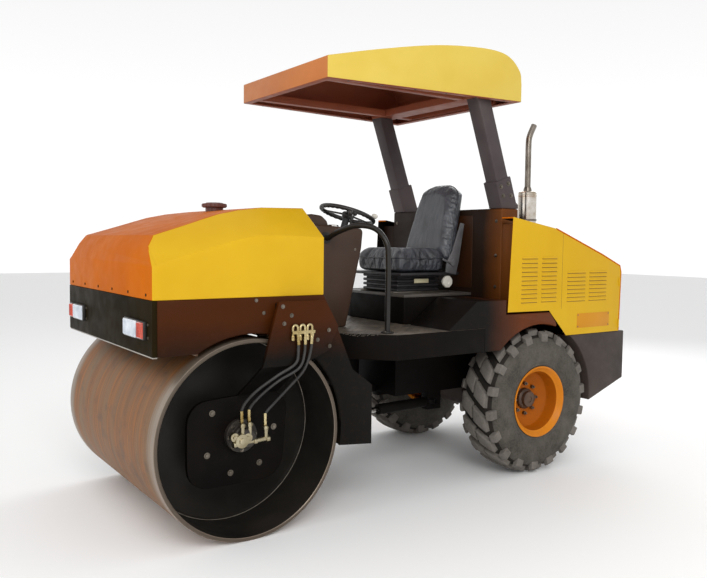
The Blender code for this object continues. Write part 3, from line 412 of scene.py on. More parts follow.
def makeVinyl():
    # calendered upholstery vinyl: a 2 mm leather grain and soft folds under a low shine, greyed by use
    material, tree, shader, coords = newMaterial(
        "seatVinyl", Roughness=0.36, Coat_Weight=0.35, Coat_Roughness=0.22
    )
    cloud = addNode(tree, "TexNoise", {"Vector": coords, "Scale": 7, "Detail": 5, "Roughness": 0.55})
    tone = addNode(tree, "MapRange", {0: cloud, 1: 0.3, 2: 0.7})
    base = addNode(tree, "Mix", {0: tone, 6: colour("26272b"), 7: colour("474950")}, 2, data_type="RGBA")
    grain = addNode(tree, "TexVoronoi", {"Vector": coords, "Scale": 420})
    faint = addNode(tree, "Math", {0: grain, 1: 0.08}, operation="MULTIPLY")
    drawn = addNode(tree, "Mapping", {"Vector": coords, "Scale": (1.0, 1.0, 0.22)})
    folds = addNode(tree, "TexNoise", {"Vector": drawn, "Scale": 17, "Detail": 3, "Roughness": 0.5})
    height = addNode(tree, "Math", {0: faint, 1: folds}, operation="ADD")
    relief = addNode(tree, "Bump", {"Height": height, "Strength": 0.9, "Distance": 0.014})
    return surface(material, shader, Base_Color=base, Normal=relief)


# the sides' full yellow
yellowEnamel = enamel("chromeYellowEnamel", "d0a61d", "ca9e17", 0.38, "b89a58", 0.06, 0.12)
# the deeper orange of the tops
orangeEnamel = enamel("burntOrangeEnamel", "c66701", "ba5d00", 0.42, "a06a36", 0.03, 0.03)
# orange under road dust
wheelEnamel = enamel("wheelOrangeEnamel", "cf7d12", "bf6e0c", 0.40, "6a5236", 0.30, 0.2)
# the wheel's dish: the orange and its dust painted darker as shade
wheelDishShade = enamel("wheelDishShadedOrangeEnamel", "a8590a", "944c08", 0.42, "4a3420", 0.30, 0.12)
# deep, hardly reflecting
blackEnamel = enamel("chassisBlackEnamel", "0c0a09", "15110e", 0.50, "33291f", 0.06, 0.05)
# black, painted brown for the warm light that falls on it
brownEnamel = enamel("warmLitBlackEnamel", "2a180c", "3a1f0e", 0.40, "5a3a20", 0.08, 0.15)
# grey-brown on rough casting
castEnamel = enamel("castingBlackEnamel", "332b27", "443a35", 0.55, "5f5347", 0.22, 0.25)
# faded charcoal of the posts
greyEnamel = enamel("postGreyEnamel", "3e3637", "524949", 0.48, "665d58", 0.10, 0.18)
drumSteel = makeDrumSteel()
tyreRubber = makeRubber("soiledTyreRubber", "34312d", "54504a", "6b645a")  # sidewall: dull grey-brown
# tread faces: paler, with dry dust
treadRubber = makeRubber("dustyTreadRubber", "57524d", "6f6a64", "827b72")
# between the blocks: near black, as painted shade
grooveShadeRubber = makeRubber("grooveShadeRubber", "171513", "26221e", "3a342d")
seatVinyl = makeVinyl()
# bright, cold and mirror-like
chromePlate = plain("hardChromePlate", "e6e4e0", "d8d5cf", 0.12, 1.0, 60, 0.03)
# bright, yellowed a little by heat
mufflerChrome = plain("bluedMufflerChrome", "cfcac3", "a3947f", 0.20, 1.0, 60, 0.05)
pipeSteel = plain("drawnPipeSteel", "8d857c", "6d655b", 0.34, 1.0)  # dull brown-grey metal
brassFitting = plain("turnedBrass", "cfc096", "9a8450", 0.26, 1.0)  # warm bright metal
boltZinc = plain("zincPlatedBolt", "7d766c", "5c564d", 0.40, 1.0)  # zinc gone grey, with a soft gleam
hoseRubber = plain("braidedHoseRubber", "1a1918", "2c2a28", 0.5, 0.0, 400, 0.3)  # black and slightly rough
# black with a soft sheen
blackPlastic = plain("mouldedBlackPlastic", "191716", "26221f", 0.42, 0.0, 300, 0.15)
# dark, grainy and half metallic
castIron = plain("machinedCastIron", "2b2825", "3b352f", 0.55, 0.4, 150, 0.35)
# brown-black under grease and dust
hubIron = plain("greasyHubCasting", "3a2a20", "5a4534", 0.45, 0.2, 120, 0.3)
capEnamel = plain("oxideRedCap", "4a1c0e", "5f2812", 0.4)  # dull dark red
labelBeige = plain("printedCardTag", "cfc6a4", "b9ae8c", 0.6)  # pale and flat
whiteKnob = plain("mouldedWhiteNylon", "e6e2d8", "c9c4b8", 0.4)  # warm white with a soft shine
# cold and pale with a hard glint
clearLens = plain("ribbedClearLens", "dfe4ea", "b8c0ca", 0.10, 0.0, 90, 0.1, Coat_Weight=0.8)
# deep orange-red with a hard glint
amberLens = plain("ribbedAmberLens", "c8401c", "a52a12", 0.15, 0.0, 90, 0.1, Coat_Weight=0.8)
# worn by boots to a dull gleam
floorPlate = plain("treadPlateSteel", "5a544c", "7b7165", 0.42, 0.6, 160, 0.2)
print("materials ready")


def makeStage():
    deselectAll()
    bpy.ops.mesh.primitive_plane_add(size=60)
    floor = bpy.context.object
    floor.name = "studioFloor"
    floor.data.materials.append(
        newMaterial("paleStudioFloor", Roughness=0.75, Base_Color=colour("fdfdfd"))[0]
    )

    world = bpy.data.worlds.new("studioWorld")
    world.use_nodes = True
    sky = world.node_tree
    backdrop = sky.nodes["Background"]
    backdrop.inputs[0].default_value = colour("ffffff")
    upward = addNode(sky, "SeparateXYZ", {"Vector": addNode(sky, "TexCoord", output="Generated")}, "Z")
    dimmer = addNode(sky, "MapRange", {0: upward, 1: 0.10, 2: 0.60, 3: 1.06, 4: 0.72})  # greyer overhead
    sky.links.new(dimmer, backdrop.inputs[1])
    bpy.context.scene.world = world

    lamps = {  # place, aimed at, size, watts
        "keyLight": ((3.6, 6.5, 5.2), (0.0, 0.3, 1.0), 4.0, 260),
        "frontLight": ((6.5, 0.2, 2.6), (0.6, 0.0, 0.9), 3.5, 30),
        "backLight": ((-5.0, -3.0, 4.5), (-0.3, 0.0, 1.2), 4.0, 120),
    }
    for name, (at, aim, size, watts) in lamps.items():
        light = bpy.data.lights.new(name, "AREA")
        light.size = size
        light.energy = watts
        made = bpy.data.objects.new(name, light)
        made.location = at
        made.rotation_euler = (Vector(aim) - Vector(at)).to_track_quat("-Z", "Y").to_euler()
        bpy.context.scene.collection.objects.link(made)
    bpy.context.scene.view_settings.view_transform = "Standard"


def makeCamera():
    cam = {"at": (2.8995, 4.0344, 1.4823), "yaw": 34.649, "pitch": -3.579, "roll": 0.645, "lens": 39.02}
    yaw, pitch, roll = radians(cam["yaw"]), radians(cam["pitch"]), radians(cam["roll"])
    ahead = Vector((-sin(yaw) * cos(pitch), -cos(yaw) * cos(pitch), sin(pitch)))
    right = ahead.cross(Vector((0, 0, 1))).normalized()
    up = right.cross(ahead)
    right, up = right * cos(roll) + up * sin(roll), up * cos(roll) - right * sin(roll)
    data = bpy.data.cameras.new("threeQuarterCamera")
    data.lens = cam["lens"]
    data.sensor_width = 36
    made = bpy.data.objects.new("threeQuarterCamera", data)
    made.matrix_world = Matrix((
        (right.x, up.x, -ahead.x, cam["at"][0]),
        (right.y, up.y, -ahead.y, cam["at"][1]),
        (right.z, up.z, -ahead.z, cam["at"][2]),
        (0, 0, 0, 1),
    ))
    bpy.context.scene.collection.objects.link(made)
    bpy.context.scene.camera = made


makeStage()
makeCamera()


def makeDrum():
    drum = {
        "shell": 0.019, "disc": 0.317, "chamfer": 0.004, "steps": 160, "weld": 0.010,
        "bolts": 12, "boltCircle": 0.110, "bead": 0.0024,
    }
    inner = drumRadius - drum["shell"]
    disc = drumHalf - drum["disc"]
    half = [
        (0.0605, disc - 0.020),
        (0.0605, disc),
        (0.150, disc),
        (0.156, disc + 0.004),
        (0.350, disc + 0.004),
        (0.360, disc),
        (inner - drum["weld"], disc),
        (inner - 0.003, disc + drum["weld"]),
        (inner, disc + drum["weld"] + 0.004),
        (inner, drumHalf - drum["chamfer"]),
        (inner + drum["chamfer"], drumHalf),
        (drumRadius - drum["chamfer"], drumHalf),
        (drumRadius, drumHalf - drum["chamfer"]),
        (drumRadius, drumHalf - 0.060),
    ]
    profile = half + [(r, -y) for r, y in reversed(half)] + [(inner, -disc + 0.02), (inner, disc - 0.02)]
    piece = turned("drum_shell", profile, (drumX, 0, drumRadius), drum["steps"])

    def finish(at, facing):  # the dishes are painted and the outside is bare
        out = hypot(at.x - drumX, at.z - drumRadius)
        return 1 if out < inner - 0.001 or (abs(at.y) > disc and out < inner + 0.001) else 0

    paintFaces(piece, [drumSteel, dishEnamel], finish)
    dress(piece, drumSteel, "drum", "rolled_steel", "drum", angle=30)

    for name, side in sides:  # the polished bead where each disc meets the shell
        out, turns = inner - 0.002, [2 * pi * i / 120 for i in range(121)]
        ringPoints = [
            (drumX + out * cos(a), side * (disc + 0.020), drumRadius + out * sin(a)) for a in turns
        ]
        dress(tube(f"drum_disc_bead_{name}", ringPoints, drum["bead"], 2), pipeSteel, "drum", "rolled_steel")

    bolt = rod("drum_disc_bolts", (0, 0, 0), (0, 0.014, 0), 0.013, 6, 0.0015)
    places = []
    for name, side in sides:
        for i in range(drum["bolts"]):
            turn, out = 2 * pi * i / drum["bolts"], drum["boltCircle"]
            at = Vector((drumX + out * cos(turn), side * (disc + 0.030), drumRadius + out * sin(turn)))
            places.append(Matrix.Translation(at) @ Matrix.Rotation(0 if side > 0 else pi, 4, "X"))
    bolts = joined("drum_disc_bolts", copiesOf(bolt, places))
    dress(bolts, boltZinc, "drum", "cast_iron")


def makeTyre(name, side):
    tyre = {
        "bead": 0.205, "base": 0.436, "rows": 18, "top": tyreRadius - 0.001, "width": 0.094, "skew": 0.72,
    }
    half = tyreHalf
    crown = [
        (tyre["bead"], half - 0.045), (0.226, half - 0.028), (0.236, half - 0.016), (0.243, half - 0.012),
        (0.250, half - 0.014), (0.262, half - 0.008), (0.285, half - 0.004), (0.315, half - 0.001),
        (0.345, half - 0.002), (0.372, half - 0.008), (0.394, half - 0.018), (0.412, half - 0.034),
        (0.424, half - 0.052), (0.432, half - 0.075), (tyre["base"], half - 0.105), (0.4385, 0.0),
    ]
    profile = crown + [(r, -y) for r, y in reversed(crown[:-1])]
    body = turned("tyre_body", profile, steps=96)
    # the tread floor between the blocks takes the painted-shade rubber
    paintFaces(body, [tyreRubber, grooveShadeRubber], lambda at, facing: 1 if hypot(at.x, at.z) > 0.416 else 0)

    # a long centre block and a square shoulder block are modelled once, then turned round the tyre
    wide = tyre["width"] / 2
    long = box("tread_long", (-wide, 0.005, 0), (wide, 0.098, 0.050), 0)
    square = box("tread_square", (-0.029, 0.107, 0), (0.029, half - 0.013, 0.050), 0)
    shaped = []
    for block in (long, square):
        editMode(block)
        bpy.ops.mesh.subdivide(number_cuts=3)
        objectMode()
        for vertex in block.data.vertices:
            across = vertex.co.y
            if block is long:
                vertex.co.x = vertex.co.x * (1.05 - 1.1 * across) + tyre["skew"] * (across - 0.05)
            else:
                vertex.co.x += tyre["skew"] * 0.070 - pi * tyreRadius / tyre["rows"]
            reach = max(0.0, across - 0.055) / (half - 0.055)
            bulge = vertex.co.x ** 2 / (2 * tyreRadius)
            vertex.co.z += tyre["top"] - 0.050 - 0.038 * reach ** 2.0 - bulge
        roundEdges(block, 0.005, 2, 40)
        block.data.materials.append(treadRubber)
        shaped.append(block)
    block = joined("tread_block", shaped)
    places = []
    for i in range(tyre["rows"]):
        places.append(Matrix.Rotation(2 * pi * i / tyre["rows"], 4, "Y"))
        other = Matrix.Rotation(2 * pi * (i + 0.5) / tyre["rows"], 4, "Y")
        places.append(other @ Matrix.Rotation(pi, 4, "Z"))
    piece = joined(f"tyre_tread_{name}", [body, *copiesOf(block, places)])
    place(piece, (axleX, side * tyreMid, tyreRadius))
    dress(piece, tyreRubber, f"wheel_{name}", "tyre_rubber", f"tyre_{name}", angle=40)


def makeRim(name, side):
    rim = {"steps": 96, "nuts": 8, "nutCircle": 0.098}
    half = tyreHalf
    profile = [
        (0.2045, half - 0.046), (0.219, half - 0.030), (0.228, half - 0.022), (0.2285, half - 0.016),
        (0.222, half - 0.014), (0.212, half - 0.022), (0.203, half - 0.036), (0.192, half - 0.044),
        (0.187, half - 0.060), (0.187, 0.050), (0.180, 0.032), (0.160, 0.020), (0.140, 0.006),
        (0.118, 0.000), (0.068, 0.000), (0.068, -0.012), (0.140, -0.012), (0.187, -0.004),
        (0.187, -half + 0.040), (0.2045, -half + 0.046),
    ]
    piece = turned(f"wheel_rim_{name}", [(r, side * y) for r, y in profile],
                   (axleX, side * tyreMid, tyreRadius), rim["steps"])
    # the deep dish takes the painted-shade copy of the orange
    paintFaces(
        piece, [wheelEnamel, wheelDishShade],
        lambda at, facing: 1 if hypot(at.x - axleX, at.z - tyreRadius) < 0.191 else 0,
    )
    dress(piece, wheelEnamel, f"wheel_{name}", "orange_enamel", f"rim_{name}", angle=28)

    hubLow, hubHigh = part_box(f"hub_{name}")
    inner = min(abs(hubLow.y), abs(hubHigh.y)) - tyreMid
    cap = [
        (0.0005, inner), (0.104, inner), (0.104, -0.0235), (0.0665, -0.0235), (0.0665, 0.020),
        (0.062, 0.026), (0.052, 0.030), (0.050, 0.052), (0.045, 0.0545), (0.020, 0.0545), (0.018, 0.050),
        (0.0005, 0.050),
    ]
    hub = turned("hub_body", [(r, side * y) for r, y in cap], (axleX, side * tyreMid, tyreRadius), 64)
    nut = rod("nut", (0, 0.0, 0), (0, 0.020, 0), 0.0125, 6, 0.0015)
    stud = rod("stud", (0, 0.015, 0), (0, 0.031, 0), 0.006, 12, 0.001)
    nut = joined("wheel_nut", [nut, stud])
    places = []
    for i in range(rim["nuts"]):
        turn = 2 * pi * i / rim["nuts"]
        out = rim["nutCircle"]
        at = (axleX + out * cos(turn), side * tyreMid, tyreRadius + out * sin(turn))
        places.append(Matrix.Translation(at) @ Matrix.Rotation(0 if side > 0 else pi, 4, "X"))
    nuts = joined(f"wheel_nuts_{name}", copiesOf(nut, places))
    dress(hub, hubIron, f"wheel_{name}", "cast_iron", f"hub_{name}")
    hub.name = f"hub_casting_{name}"
    dress(nuts, boltZinc, f"wheel_{name}", "cast_iron")


dishEnamel = enamel("drumDishEnamel", "1b1916", "2a2622", 0.45, "4a4036", 0.12, 0.2)  # black with road dust
makeDrum()
for sideName, sideSign in sides:
    makeTyre(sideName, sideSign)
    makeRim(sideName, sideSign)
print("drum and wheels ready")


def boltRow(name, places, body, radius, height, material, outward, dome=True):
    # one bolt is modelled, then copied to every place with its head facing outward
    seed = rod(name, (0, 0, 0), (0, 0, height), radius, 16 if dome else 6, height * 0.45 if dome else 0.001)
    washer = rod(name, (0, 0, -0.001), (0, 0, height * 0.2), radius * 1.45, 20, 0.0004)
    seed = joined(name, [seed, washer])
    turn = Vector(outward).to_track_quat("Z", "Y").to_matrix().to_4x4()
    bolts = joined(name, copiesOf(seed, [Matrix.Translation(at) @ turn for at in places]))
    return dress(bolts, material, body, "black_enamel")


def makeFrontHood():
    hood = {"round": 0.007, "bolts": (-0.62, -0.37, -0.12, 0.12, 0.37, 0.62), "capGrips": 16}
    hoodLow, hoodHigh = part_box("front_hood")
    piece = cadCopy("front_hood")
    roundEdges(piece, hood["round"], 3, 18)

    def finish(at, facing):  # yellow sides and back, orange top and front
        return 1 if abs(facing.y) < 0.36 and facing.x > -0.5 else 0

    paintFaces(piece, [yellowEnamel, orangeEnamel], finish)
    dress(piece, yellowEnamel, "front_frame", "yellow_enamel", "front_hood", angle=24)

    spots = [(hoodHigh.x - 0.001, y, hoodLow.z + 0.022) for y in hood["bolts"]]
    boltRow("hood_front_bolts", spots, "front_frame", 0.007, 0.004, blackEnamel, (1, 0, 0))

    capLow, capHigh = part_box("tank_cap")
    capX = (capLow.x + capHigh.x) / 2
    lid = turned(
        "fuel_cap_lid",
        [(0.0005, 0.090), (0.044, 0.090), (0.052, 0.086), (0.067, 0.084), (0.068, 0.080), (0.068, 0.066),
         (0.064, 0.062), (0.050, 0.062), (0.050, 0.001), (0.0005, 0.001)],
        steps=48,
    )
    grips = [
        rod(
            "grip", (0.067 * cos(a), 0.066, 0.067 * sin(a)), (0.067 * cos(a), 0.082, 0.067 * sin(a)),
            0.004, 8, 0
        )
        for a in [2 * pi * i / hood["capGrips"] for i in range(hood["capGrips"])]
    ]
    lid = joined("fuel_cap", [lid, *grips])
    place(lid, (capX, 0, capLow.z), Matrix.Rotation(pi / 2, 4, "X"))
    dress(lid, capEnamel, "front_frame", "black_enamel", "tank_cap")


def makeBumper():
    low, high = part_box("front_bumper")
    finished("front_bumper", brownBumper, "front_frame", 0.0035)
    lip = box(
        "bumper_edge_strip", (high.x - 0.026, low.y + 0.006, low.z - 0.006),
        (high.x - 0.002, high.y - 0.006, low.z + 0.004), 0.002
    )
    dress(lip, greyPrimer, "front_frame", "black_enamel")


def makeLamps():
    lamp = {"ribs": 13, "wall": 0.005, "rib": 0.0032}
    for name, side in sides:
        for node, kind, material, slotName in (
            (f"headlamp_{name}", "lens", clearLens, "lamp_lens"),
            (f"indicator_{name}", "amber", amberLens, "amber_lens"),
        ):
            low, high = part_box(node)
            wall = lamp["wall"]
            case = box(f"{node}_case", low, (low.x + 0.018, high.y, high.z), 0.004)
            pieces = [
                box(
                    "lens", (low.x + 0.010, low.y + wall, low.z + wall),
                    (high.x - 0.004, high.y - wall, high.z - wall), 0.003
                )
            ]
            ribs = lamp["ribs"] if kind == "lens" else lamp["ribs"] // 2
            for i in range(ribs):
                y = low.y + wall * 2 + (high.y - low.y - 4 * wall) * i / (ribs - 1)
                pieces.append(
                    rod(
                        "rib", (high.x - 0.005, y, low.z + 2 * wall),
                        (high.x - 0.005, y, high.z - 2 * wall), lamp["rib"], 12, 0
                    )
                )
            dress(case, blackPlastic, "front_frame", "black_plastic")
            glass = joined(f"{node}_{kind}", pieces)
            dress(glass, material, "front_frame", slotName, node)
    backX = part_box("headlamp_left")[0].x
    spots = [Vector((backX, side * y, z)) for side in (1, -1) for y in (0.350, 0.645) for z in (1.03, 1.09)]
    boltRow("lamp_screws", spots, "front_frame", 0.005, 0.003, boltZinc, (1, 0, 0))


# black with an olive cast
brownBumper = enamel("bumperOliveBlack", "221a09", "191306", 0.50, "40331f", 0.06, 0.03)
# an edge scuffed to its primer
greyPrimer = enamel("scuffedGreyEdge", "a39d94", "7b746b", 0.45, "8a7a5c", 0.12, 0.5, 0.25)
makeFrontHood()
makeBumper()
makeLamps()
print("hood, bumper and lamps ready")


def makeFrontFrame():
    plate = {
        "sideBolts": ((-0.025, 1.188), (-0.067, 1.125)),
        "legBolts": (
            (-0.150, 1.156), (-0.158, 1.071), (-0.200, 1.110), (-0.421, 1.025), (-0.353, 0.979),
            (-0.426, 0.942),
        ),
        "archRadius": 0.529,
    }
    finished("front_frame", sidePlateEnamel, "front_frame", 0.003)
    for name, side in sides:
        y = side * 0.7002
        group = [(drumX + x, y, z) for x, z in plate["sideBolts"]]
        boltRow(f"side_plate_bolts_{name}", group, "front_frame", 0.0065, 0.005, boltZinc, (0, side, 0))
        leg = [(drumX + x, side * 0.7417, z) for x, z in plate["legBolts"]]
        boltRow(f"support_leg_bolts_{name}", leg, "front_frame", 0.0075, 0.007, boltZinc, (0, side, 0))
        # the folded edge that stiffens the arch over the drum
        out, turns = plate["archRadius"], [radians(58 + 118 * i / 40) for i in range(41)]
        arch = [(drumX + out * cos(a), side * 0.6925, drumRadius + out * sin(a)) for a in turns]
        dress(tube(f"arch_edge_{name}", arch, 0.0045, 3), sidePlateEnamel, "front_frame", "black_enamel")


def makeSupports():
    support = {"boltCircle": 0.195, "boltTurns": [radians(d) for d in (40, -25, -75, -125, 175)]}
    for name, side in sides:
        piece = cadCopy(f"drum_support_{name}")
        roundEdges(piece, 0.003, 2)
        # the upper outer faces take the side plate's painted bounce light, going to painted shade lower down
        paintFaces(
            piece, [blackEnamel, sidePlateEnamel],
            lambda at, facing: 1 if abs(at.y) > 0.72 and at.z > 0.85 else 0,
        )
        dress(piece, blackEnamel, "front_frame", "black_enamel", f"drum_support_{name}")
        low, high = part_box(f"drum_support_{name}")
        face = side * (min(abs(low.y), abs(high.y)) + 0.0252)
        out = support["boltCircle"]
        around = [(drumX + out * cos(a), face, drumRadius + out * sin(a)) for a in support["boltTurns"]]
        boltRow(f"support_plate_bolts_{name}", around, "front_frame", 0.011, 0.009, boltZinc, (0, side, 0))


def makeMotors():
    motor = {"bolts": 8, "boltCircle": 0.072, "portRadius": 0.0105, "crossRadius": 0.012}
    for name, side in sides:
        low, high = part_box(f"drum_motor_{name}")
        face = min(abs(low.y), abs(high.y))
        length = high.y - low.y
        profile = [
            (0.0005, 0), (0.085, 0), (0.085, 0.026), (0.082, 0.030), (0.060, 0.030), (0.057, 0.034),
            (0.057, 0.056), (0.049, 0.060), (0.049, length - 0.012), (0.042, length - 0.004),
            (0.020, length - 0.001), (0.0005, length - 0.001),
        ]
        body = turned(
            f"drum_motor_casting_{name}", [(r, side * y) for r, y in profile],
            (drumX, side * face, drumRadius), 64
        )
        dress(body, castIron, "front_frame", "cast_iron", f"drum_motor_{name}")
        out, count = motor["boltCircle"], motor["bolts"]
        turns = [2 * pi * i / count for i in range(count)]
        ring = [(drumX + out * cos(a), side * (face + 0.030), drumRadius + out * sin(a)) for a in turns]
        boltRow(f"drum_motor_bolts_{name}", ring, "front_frame", 0.007, 0.008, boltZinc, (0, side, 0), False)
        parts = []  # the ported end: two cast bosses, a cross line and the elbows that the hoses screw into
        for x, z, radius, high in (
            (0.038, -0.006, 0.036, 0.036), (0.074, 0.016, 0.023, 0.028), (0.004, 0.004, 0.026, 0.030)
        ):
            parts.append(rod("boss", (x, 0, z), (x, high, z), radius, 28, 0.005))
            parts.append(rod("plug", (x, high - 0.001, z), (x, high + 0.007, z), radius * 0.5, 6, 0.0015))
        parts.append(
            rod("line", (0.060, 0.018, -0.020), (-0.104, 0.018, -0.014), motor["crossRadius"], 20, 0.002)
        )
        for x, z in ((0.082, -0.021), (-0.030, -0.017), (-0.100, -0.014)):
            parts.append(rod("nut", (x, 0.018, z), (x - 0.018, 0.018, z), 0.018, 6, 0.002))
        for x, foot, head in ((0.030, 0.000, 0.080), (-0.010, -0.010, 0.082), (-0.100, -0.016, 0.052)):
            parts.append(rod("elbow", (x, 0.018, foot), (x, 0.018, head), motor["portRadius"], 20, 0.002))
            parts.append(rod("nut", (x, 0.018, head - 0.022), (x, 0.018, head - 0.004), 0.0145, 6, 0.0015))
        block = joined(f"drum_motor_valve_{name}", parts)
        flip = Matrix.Scale(side, 4, (0, 1, 0))
        place(block, (drumX, side * (face + length - 0.030), drumRadius), flip)
        mergeDoubles(block, 0.000001)
        dress(block, castBrass, "front_frame", "brass_fitting")


def fitting(at, along, length, radius):  # a crimped ferrule with its hexagon nut
    at, along = Vector(at), Vector(along).normalized()
    nut = rod("nut", at, at + along * length * 0.36, radius * 1.35, 6, 0.001)
    ferrule = rod("ferrule", at + along * length * 0.30, at + along * length, radius * 1.12, 20, 0.001)
    return [nut, ferrule]


def makeHoses():
    hose = {"radius": 0.0075, "bend": 0.0065, "legFace": 0.7418, "portY": 0.652, "proud": 0.012}
    # (x from the drum's axis, z) from the leg's manifold down to the motor
    lines = (
        (
            (-0.228, 1.004), (-0.232, 0.930), (-0.215, 0.868), (-0.120, 0.812), (-0.020, 0.735),
            (0.028, 0.660), (0.030, 0.590)
        ),
        (
            (-0.270, 1.004), (-0.268, 0.920), (-0.238, 0.845), (-0.140, 0.786), (-0.058, 0.715),
            (-0.014, 0.650), (-0.010, 0.592)
        ),
        (
            (-0.312, 1.004), (-0.302, 0.920), (-0.270, 0.830), (-0.215, 0.750), (-0.150, 0.665),
            (-0.106, 0.615), (-0.100, 0.562)
        ),
    )
    legFace, proud = hose["legFace"], hose["legFace"] + hose["proud"]
    for name, side in sides:
        brassParts, hoses = [], []
        for line in lines:
            knots = []
            for x, z in line:
                share = min(1.0, max(0.0, (z - 0.640) / 0.210))
                knots.append((drumX + x, side * (hose["portY"] + (proud - hose["portY"]) * share), z))
            route = smoothRoute(knots, 8)
            hoses.append(tube("hose", route, hose["radius"], 4))
            brassParts += fitting(route[0] + Vector((0, 0, 0.020)), route[4] - route[0], 0.062, 0.0085)
            brassParts += fitting(route[-1] - Vector((0, 0, 0.010)), route[-5] - route[-1], 0.062, 0.0085)
            top, y = drumX + line[0][0], side * proud
            bow = [
                (top + 0.014 - 0.014 * cos(a), y, 1.046 + 0.016 * sin(a))
                for a in [pi * i / 10 for i in range(11)]
            ]
            bow = [(top, y, 1.020), *bow, (top + 0.028, y, 1.000)]
            brassParts.append(tube("bow", bow, hose["bend"], 4))
            brassParts.append(rod("nut", (top + 0.028, y, 0.985), (top + 0.028, y, 1.010), 0.010, 6, 0.001))
            brassParts.append(
                rod("stem", (top, side * (legFace - 0.001), 1.026), (top, y, 1.026), 0.013, 16, 0.002)
            )
        a, b = sorted((side * (legFace + 0.0005), side * (legFace + 0.0205)))
        brassParts.append(box("bar", (drumX - 0.328, a, 1.016), (drumX - 0.194, b, 1.034), 0.004))
        rubber = joined(f"drum_hose_lines_{name}", hoses)
        dress(rubber, hoseRubber, "front_frame", "black_enamel")
        metal = joined(f"drum_hose_fittings_{name}", brassParts)
        dress(metal, brassFitting, "front_frame", "brass_fitting", f"drum_hoses_{name}")


def makeScrapers():
    for name in ("front", "rear"):
        finished(f"scraper_{name}", scraperTan, "front_frame", 0.002, "rolled_steel")


# brown above, as painted warm light bounced from the hood; black low down, as painted shade
sidePlateEnamel = enamel("sidePlateBounceLitShadedEnamel", "401d05", "100d0a", gloss=0.08, paintedLightRamp=("Z", 1.10, 0.88))
castBrass = plain("castSilverBrass", "b5ab90", "8c8266", 0.34, 1.0, 90, 0.3)  # pale dull gold with a grain
# tan and half bright where earth scours it
scraperTan = plain("scouredScraperSteel", "a58a70", "7d6450", 0.5, 0.3)
makeFrontFrame()
makeSupports()
makeMotors()
makeHoses()
makeScrapers()
print("front frame and drum drive ready")


def makeConsole():
    low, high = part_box("console")
    wide = high.y
    back, front = low.x, high.x
    outline = [
        (back + 0.120, low.z), (front - 0.040, low.z), (front, 1.450), (front - 0.060, high.z - 0.001),
        (back + 0.012, high.z - 0.021), (back, high.z - 0.040), (back + 0.010, 1.440),
    ]
    body = prism("console_shell", outline, -wide, wide, 0.012, 3)
    dress(body, consoleEnamel, "rear_frame", "black_enamel", "console")

    def deckZ(x):  # height of the sloping top
        return high.z - 0.020 + (x - back) * 0.0526

    dials = {"across": (-0.115, 0.0, 0.115), "x": 0.350, "radius": 0.036}
    bezels, faces, needles = [], [], []
    for y in dials["across"]:
        ring = turned(
            "bezel", [(dials["radius"], -0.001), (dials["radius"], 0.008), (dials["radius"] - 0.003, 0.011),
                      (dials["radius"] - 0.007, 0.009), (dials["radius"] - 0.007, -0.001)], steps=40)
        upright = Matrix.Rotation(-0.0526, 4, "Y") @ Matrix.Rotation(pi / 2, 4, "X")
        at = (dials["x"], y, deckZ(dials["x"]))
        bezels.append(place(ring, at, upright))
        disc = turned("dial", [(0.0004, 0.004), (0.030, 0.004), (0.030, 0.001), (0.0004, 0.001)], steps=32)
        faces.append(place(disc, at, upright))
        hand = box("hand", (-0.0015, -0.003, 0.0042), (0.0015, 0.022, 0.0052), 0)
        needles.append(
            place(hand, at, Matrix.Rotation(-0.0526, 4, "Y") @ Matrix.Rotation(0.6 + 4 * y, 4, "Z"))
        )
    dress(joined("gauge_bezels", bezels), chromePlate, "rear_frame", "chrome_plate")
    dress(joined("gauge_faces", faces), gaugeFace, "rear_frame", "black_plastic")
    dress(joined("gauge_hands", needles), whiteKnob, "rear_frame", "lamp_lens")

    pilots = [(dials["x"] + 0.050, y, deckZ(dials["x"] + 0.050)) for y in (-0.09, -0.03, 0.03, 0.09)]
    boltRow("pilot_lamps", pilots, "rear_frame", 0.007, 0.008, amberLens, (0, 0, 1))
    key = turned(
        "key_switch", [(0.0004, 0), (0.017, 0), (0.017, 0.006), (0.012, 0.012), (0.0004, 0.012)], steps=32
    )
    place(key, (0.260, -0.165, deckZ(0.260)), Matrix.Rotation(pi / 2, 4, "X"))
    blade = box("key", (0.256, -0.176, deckZ(0.260) + 0.010), (0.264, -0.154, deckZ(0.260) + 0.034), 0.002)
    cowl = [
        (0.420, deckZ(0.420) - 0.010), (0.596, 1.545), (0.590, 1.612), (0.548, 1.640), (0.470, 1.632),
        (0.430, 1.600)
    ]
    dress(prism("console_cowl", cowl, -0.185, 0.185, 0.014, 3), consoleEnamel, "rear_frame", "black_enamel")
    dress(joined("key_switch", [key, blade]), chromePlate, "rear_frame", "chrome_plate")

    levers, knobs = [], []
    for y, lean in ((0.145, -0.040), (0.185, 0.020)):
        base = Vector((0.255, y, deckZ(0.255) - 0.004))
        top = base + Vector((lean, 0.012, 0.095))
        levers.append(rod("lever", base, top, 0.0055, 12, 0.001))
        levers.append(rod("boot", base, base + (top - base) * 0.22, 0.019, 24, 0.003, 0.009))
        deselectAll()
        bpy.ops.mesh.primitive_uv_sphere_add(segments=20, ring_count=12, radius=0.016, location=top)
        ball = bpy.context.object
        ball.scale = (1, 1, 1.2)
        knobs.append(settle(ball))
    dress(joined("control_levers", levers), blackPlastic, "rear_frame", "black_plastic")
    dress(joined("control_lever_knobs", knobs), blackPlastic, "rear_frame", "black_plastic")
    seam = [(x, side * (wide + 0.001), 1.432) for side in (1, -1) for x in (back + 0.06, front - 0.06)]
    boltRow("console_screws_left", seam[:2], "rear_frame", 0.006, 0.003, boltZinc, (0, 1, 0))
    boltRow("console_screws_right", seam[2:], "rear_frame", 0.006, 0.003, boltZinc, (0, -1, 0))


